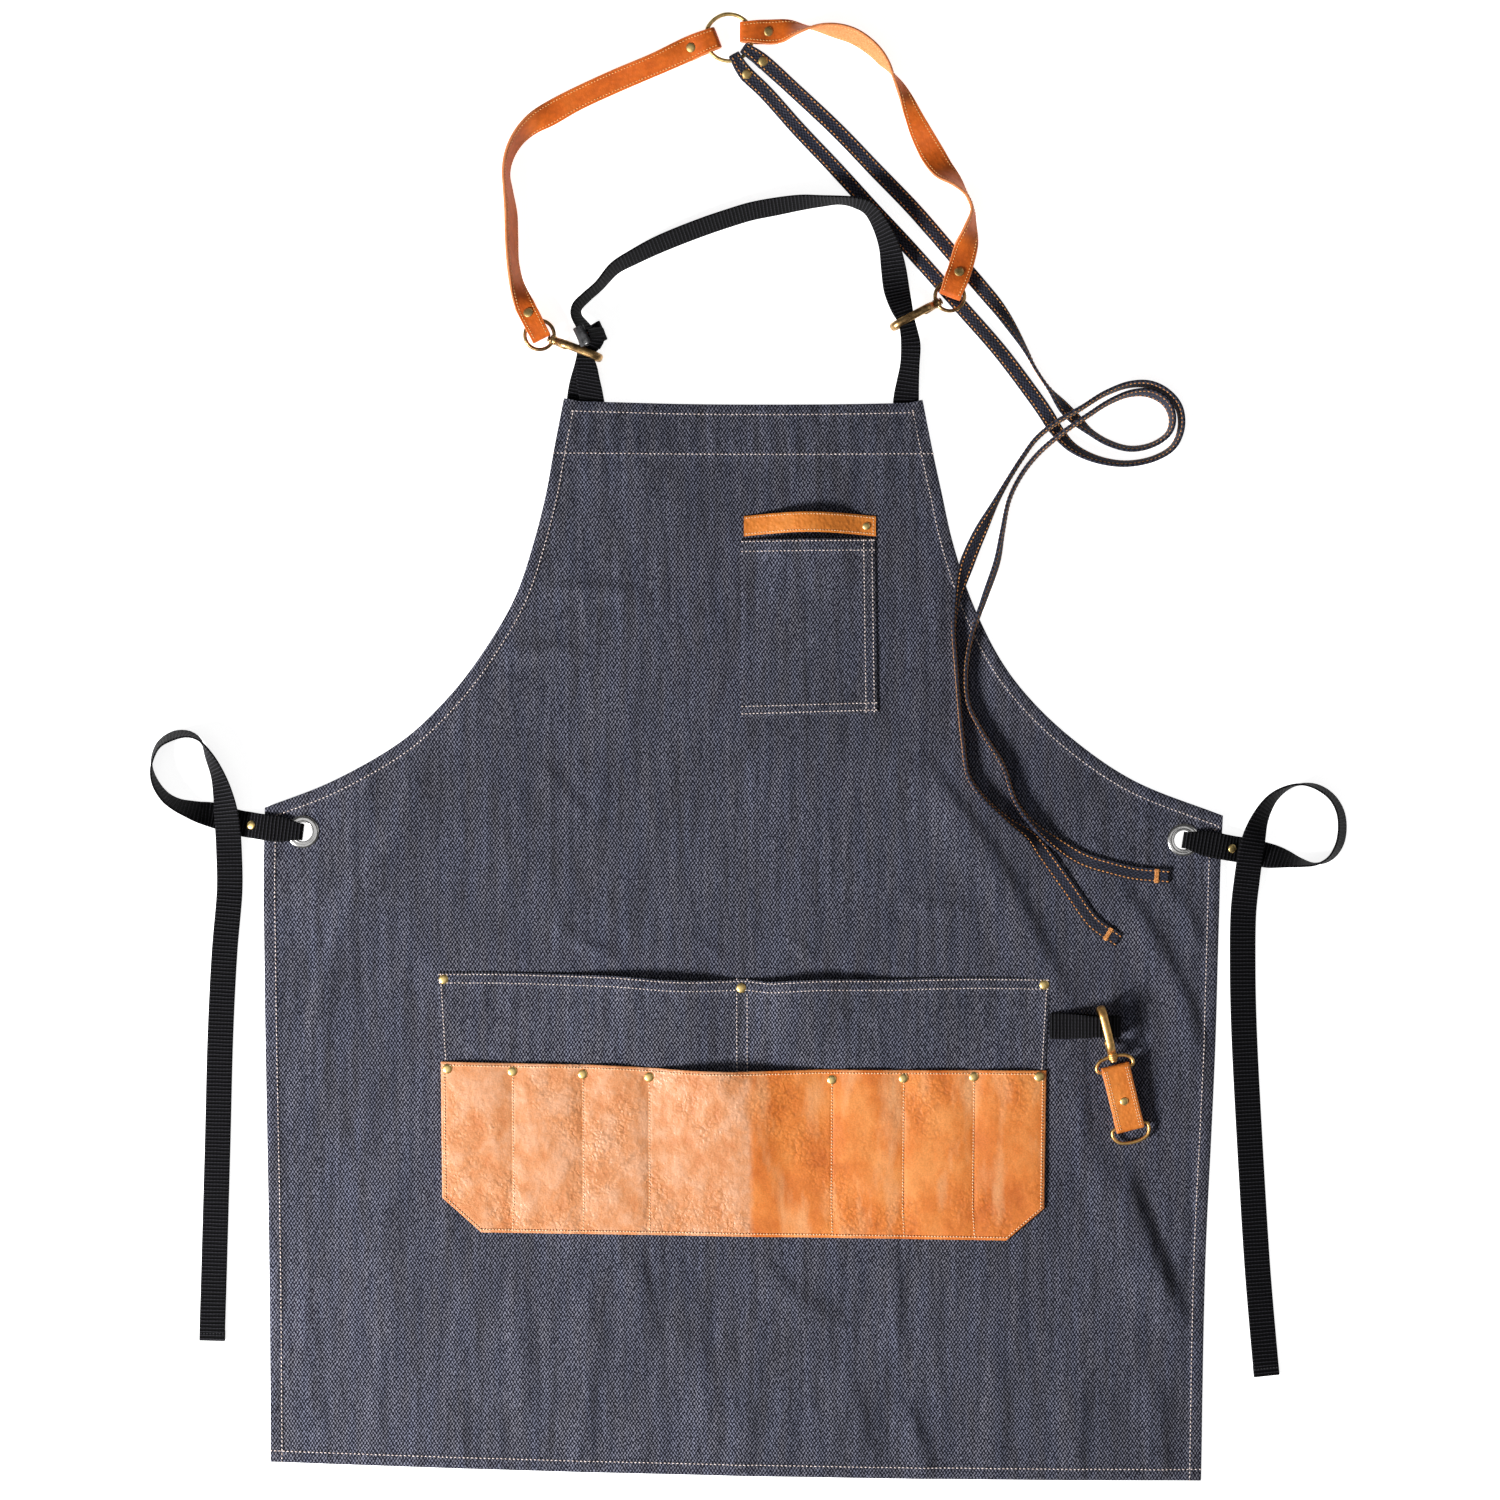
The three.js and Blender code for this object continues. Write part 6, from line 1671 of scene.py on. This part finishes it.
tab_gap = 2 * KEEPER_WIRE + 0.9
tab_rows = [(x, 0, 0, tab_gap / 2) for x in np.linspace(KEEPER_BAR, TAB_END, 9)]
tab_flat = lay(tab_rows, TAB_WIDTH, TAB_LEATHER)
upper_tail = {"gap": tab_gap, "hold": 4, "pinch": 10, "tail": 31}
lower_tail = {"gap": tab_gap, "hold": 4, "pinch": 9, "tail": 11.5}
tab_folded = fold_end(fold_start(tab_flat, TAB_LEATHER, **upper_tail), TAB_LEATHER, **lower_tail)


def on_keeper(run):
    point = run["point"] @ KEEPER_TURN.T + KEEPER_PLACE
    return {**run, "point": point, "side": run["side"] @ KEEPER_TURN.T}


tab_leather = leather_finish("tab_leather", *TAB_TAN, 0.7, 0.45)
tool_tab = strap_piece("keeper_leather", on_keeper(tab_folded), TAB_LEATHER, [tab_leather, flesh, flesh])
fit(tool_tab, "leather", "keeper_tab")
tab_lines = strap_lines(on_keeper(tab_flat), TAB_LEATHER, 1.8, faces=(1,))
tab_lines += strap_lines(on_keeper(tab_flat), TAB_LEATHER, 3.4, faces=(1,))
tab_seams = stitched("keeper_seams", tab_lines, TAB_STITCH, tan_thread)
fit(tab_seams, "leather")
tab_out = KEEPER_TURN @ np.array([0, 0, 1.0])
tab_spot = KEEPER_TURN @ np.array([TAB_RIVET, 0, tab_gap / 2 + TAB_LEATHER + 0.3]) + KEEPER_PLACE
rivet_spots.append((*tab_spot, tab_out, TAB_CAP))


# Rivets: domed brass caps on short posts, set through every layer where a strap or a pocket is held.
# They are bright on the body and the ties, and duller on the yoke's straps, to match its ring.
bright_brass = metal_finish("bright_brass", (1.0, 0.74, 0.30), (0.88, 0.55, 0.18), 0.36, 0.28)


def rivet_tree():
    """A cap on every point of a mesh, leaning and sized as the point says."""
    tree, keys, given = new_tree("rivet_caps", Cap="Object", Finish="Material")
    named = "GeometryNodeInputNamedAttribute"
    lean = put(tree, named, {"Name": "lean"}, data_type="FLOAT_VECTOR").outputs[0]
    size = put(tree, named, {"Name": "cap"}, data_type="FLOAT").outputs[0]
    turn = put(tree, "FunctionNodeAlignRotationToVector", {"Vector": lean}, axis="Z").outputs[0]
    cap = put(tree, "GeometryNodeObjectInfo", {"Object": given["Cap"]}).outputs["Geometry"]
    inputs = {"Points": given["Geometry"], "Instance": cap, "Rotation": turn, "Scale": size}
    set_in = put(tree, "GeometryNodeInstanceOnPoints", inputs).outputs[0]
    finished(tree, set_in, given["Finish"])
    return tree, keys


cap_profile = [
    (0, 0.30), (0.3, 0.29), (0.55, 0.26), (0.75, 0.20), (0.9, 0.11), (0.97, 0.02), (0.985, -0.04),
    (0.95, -0.1), (0.35, -0.11), (0.32, -0.75), (0, -0.75),
]
cap_points, cap_faces = lathe(cap_profile, (0, 0, 0), sides=24)
cap_mesh = bpy.data.meshes.new("rivet_cap")
cap_mesh.from_pydata(cap_points.tolist(), [], cap_faces)
cap_mesh.polygons.foreach_set("use_smooth", np.ones(len(cap_mesh.polygons), bool))
cap = put_in_scene("rivet_cap", cap_mesh)

caps, cap_keys = rivet_tree()


def set_rivets(name, spots, finish, *nodes):
    """One piece of all the rivets at spots: place, way out of the surface and radius."""
    mesh = bpy.data.meshes.new(name)
    mesh.from_pydata([((np.array(spot[:3]) + LAY_SHIFT) * MM).tolist() for spot in spots], [], [])
    mesh.attributes.new("lean", "FLOAT_VECTOR", "POINT")
    mesh.attributes["lean"].data.foreach_set("vector", np.array([spot[3] for spot in spots], float).ravel())
    mesh.attributes.new("cap", "FLOAT", "POINT")
    mesh.attributes["cap"].data.foreach_set("value", np.array([spot[4] * MM for spot in spots]))
    rivets = put_in_scene(name, mesh)
    grown_by(rivets, caps, cap_keys, {"Cap": cap, "Finish": finish})
    fit(rivets, "brass", *nodes)


held = [f"pocket_rivet_{place}" for place in ("left", "middle", "right")]
held += ["band_rivet", "keeper_tab_rivet", "left_tie_rivet", "right_tie_rivet"]
held += [f"leather_rivet_{k}" for k in range(1, len(LEATHER_RIVETS) + 1)]
set_rivets("rivets", rivet_spots, bright_brass, *held)
yoke_held = []
for side in ("left", "right"):
    yoke_held += [f"{side}_{end}_rivet" for end in ("leather_ring", "leather_hook", "denim")]
set_rivets("yoke_rivets", yoke_spots, dull_brass, *yoke_held)
bpy.data.objects.remove(cap)


# Studio: a white floor under a strong soft light from the lower left, a wide one overhead and a weak one
# from the right. The camera looks straight down through a long lens, framed as the apron lies.
FRAME_WIDTH = 1.110
FRAME_MIDDLE = (0.00093, -0.0024)
LENS = 100.0
SENSOR = 36.0
FLOOR_REACH = 6.0
FLOOR_DROP = 0.0004
camera_data = bpy.data.cameras.new("camera")
camera_data.lens = LENS
camera_data.sensor_width = SENSOR
camera = put_in_scene("camera", camera_data)
camera.location = (*FRAME_MIDDLE, FRAME_WIDTH * LENS / SENSOR)
bpy.context.scene.camera = camera

floor_mesh = bpy.data.meshes.new("floor")
corners = [(x * FLOOR_REACH, y * FLOOR_REACH, 0) for x, y in ((-1, -1), (1, -1), (1, 1), (-1, 1))]
floor_mesh.from_pydata(corners, [], [(0, 1, 2, 3)])
floor_paint, floor_tree, floor_surface, _ = shader("floor_white")
feed(floor_tree, floor_surface, {"Base Color": (0.93, 0.93, 0.93, 1), "Roughness": 0.9})
feed(floor_tree, floor_surface, {"Emission Color": (1, 1, 1, 1), "Emission Strength": 0.85})
floor_mesh.materials.append(floor_paint)
floor = put_in_scene("floor", floor_mesh)
floor.location.z = -FLOOR_DROP


def soft_light(name, place, size, power):
    lamp = bpy.data.lights.new(name, "AREA")
    lamp.size = size
    lamp.energy = power
    light = put_in_scene(name, lamp)
    light.location = place
    light.rotation_euler = (-Vector(place)).to_track_quat("-Z", "Y").to_euler()


soft_light("key_light", (-1.8, -1.2, 1.35), 0.6, 112)
soft_light("top_light", (-0.5, -0.7, 3.6), 2.6, 13)
soft_light("fill_light", (2.3, 0.7, 1.5), 1.6, 5)
world = bpy.data.worlds.new("studio")
world.use_nodes = True
sky = world.node_tree.nodes["Background"]
feed(world.node_tree, sky, {"Color": (1, 1, 1, 1), "Strength": 0.06})
bpy.context.scene.world = world
bpy.context.scene.view_settings.view_transform = "Standard"
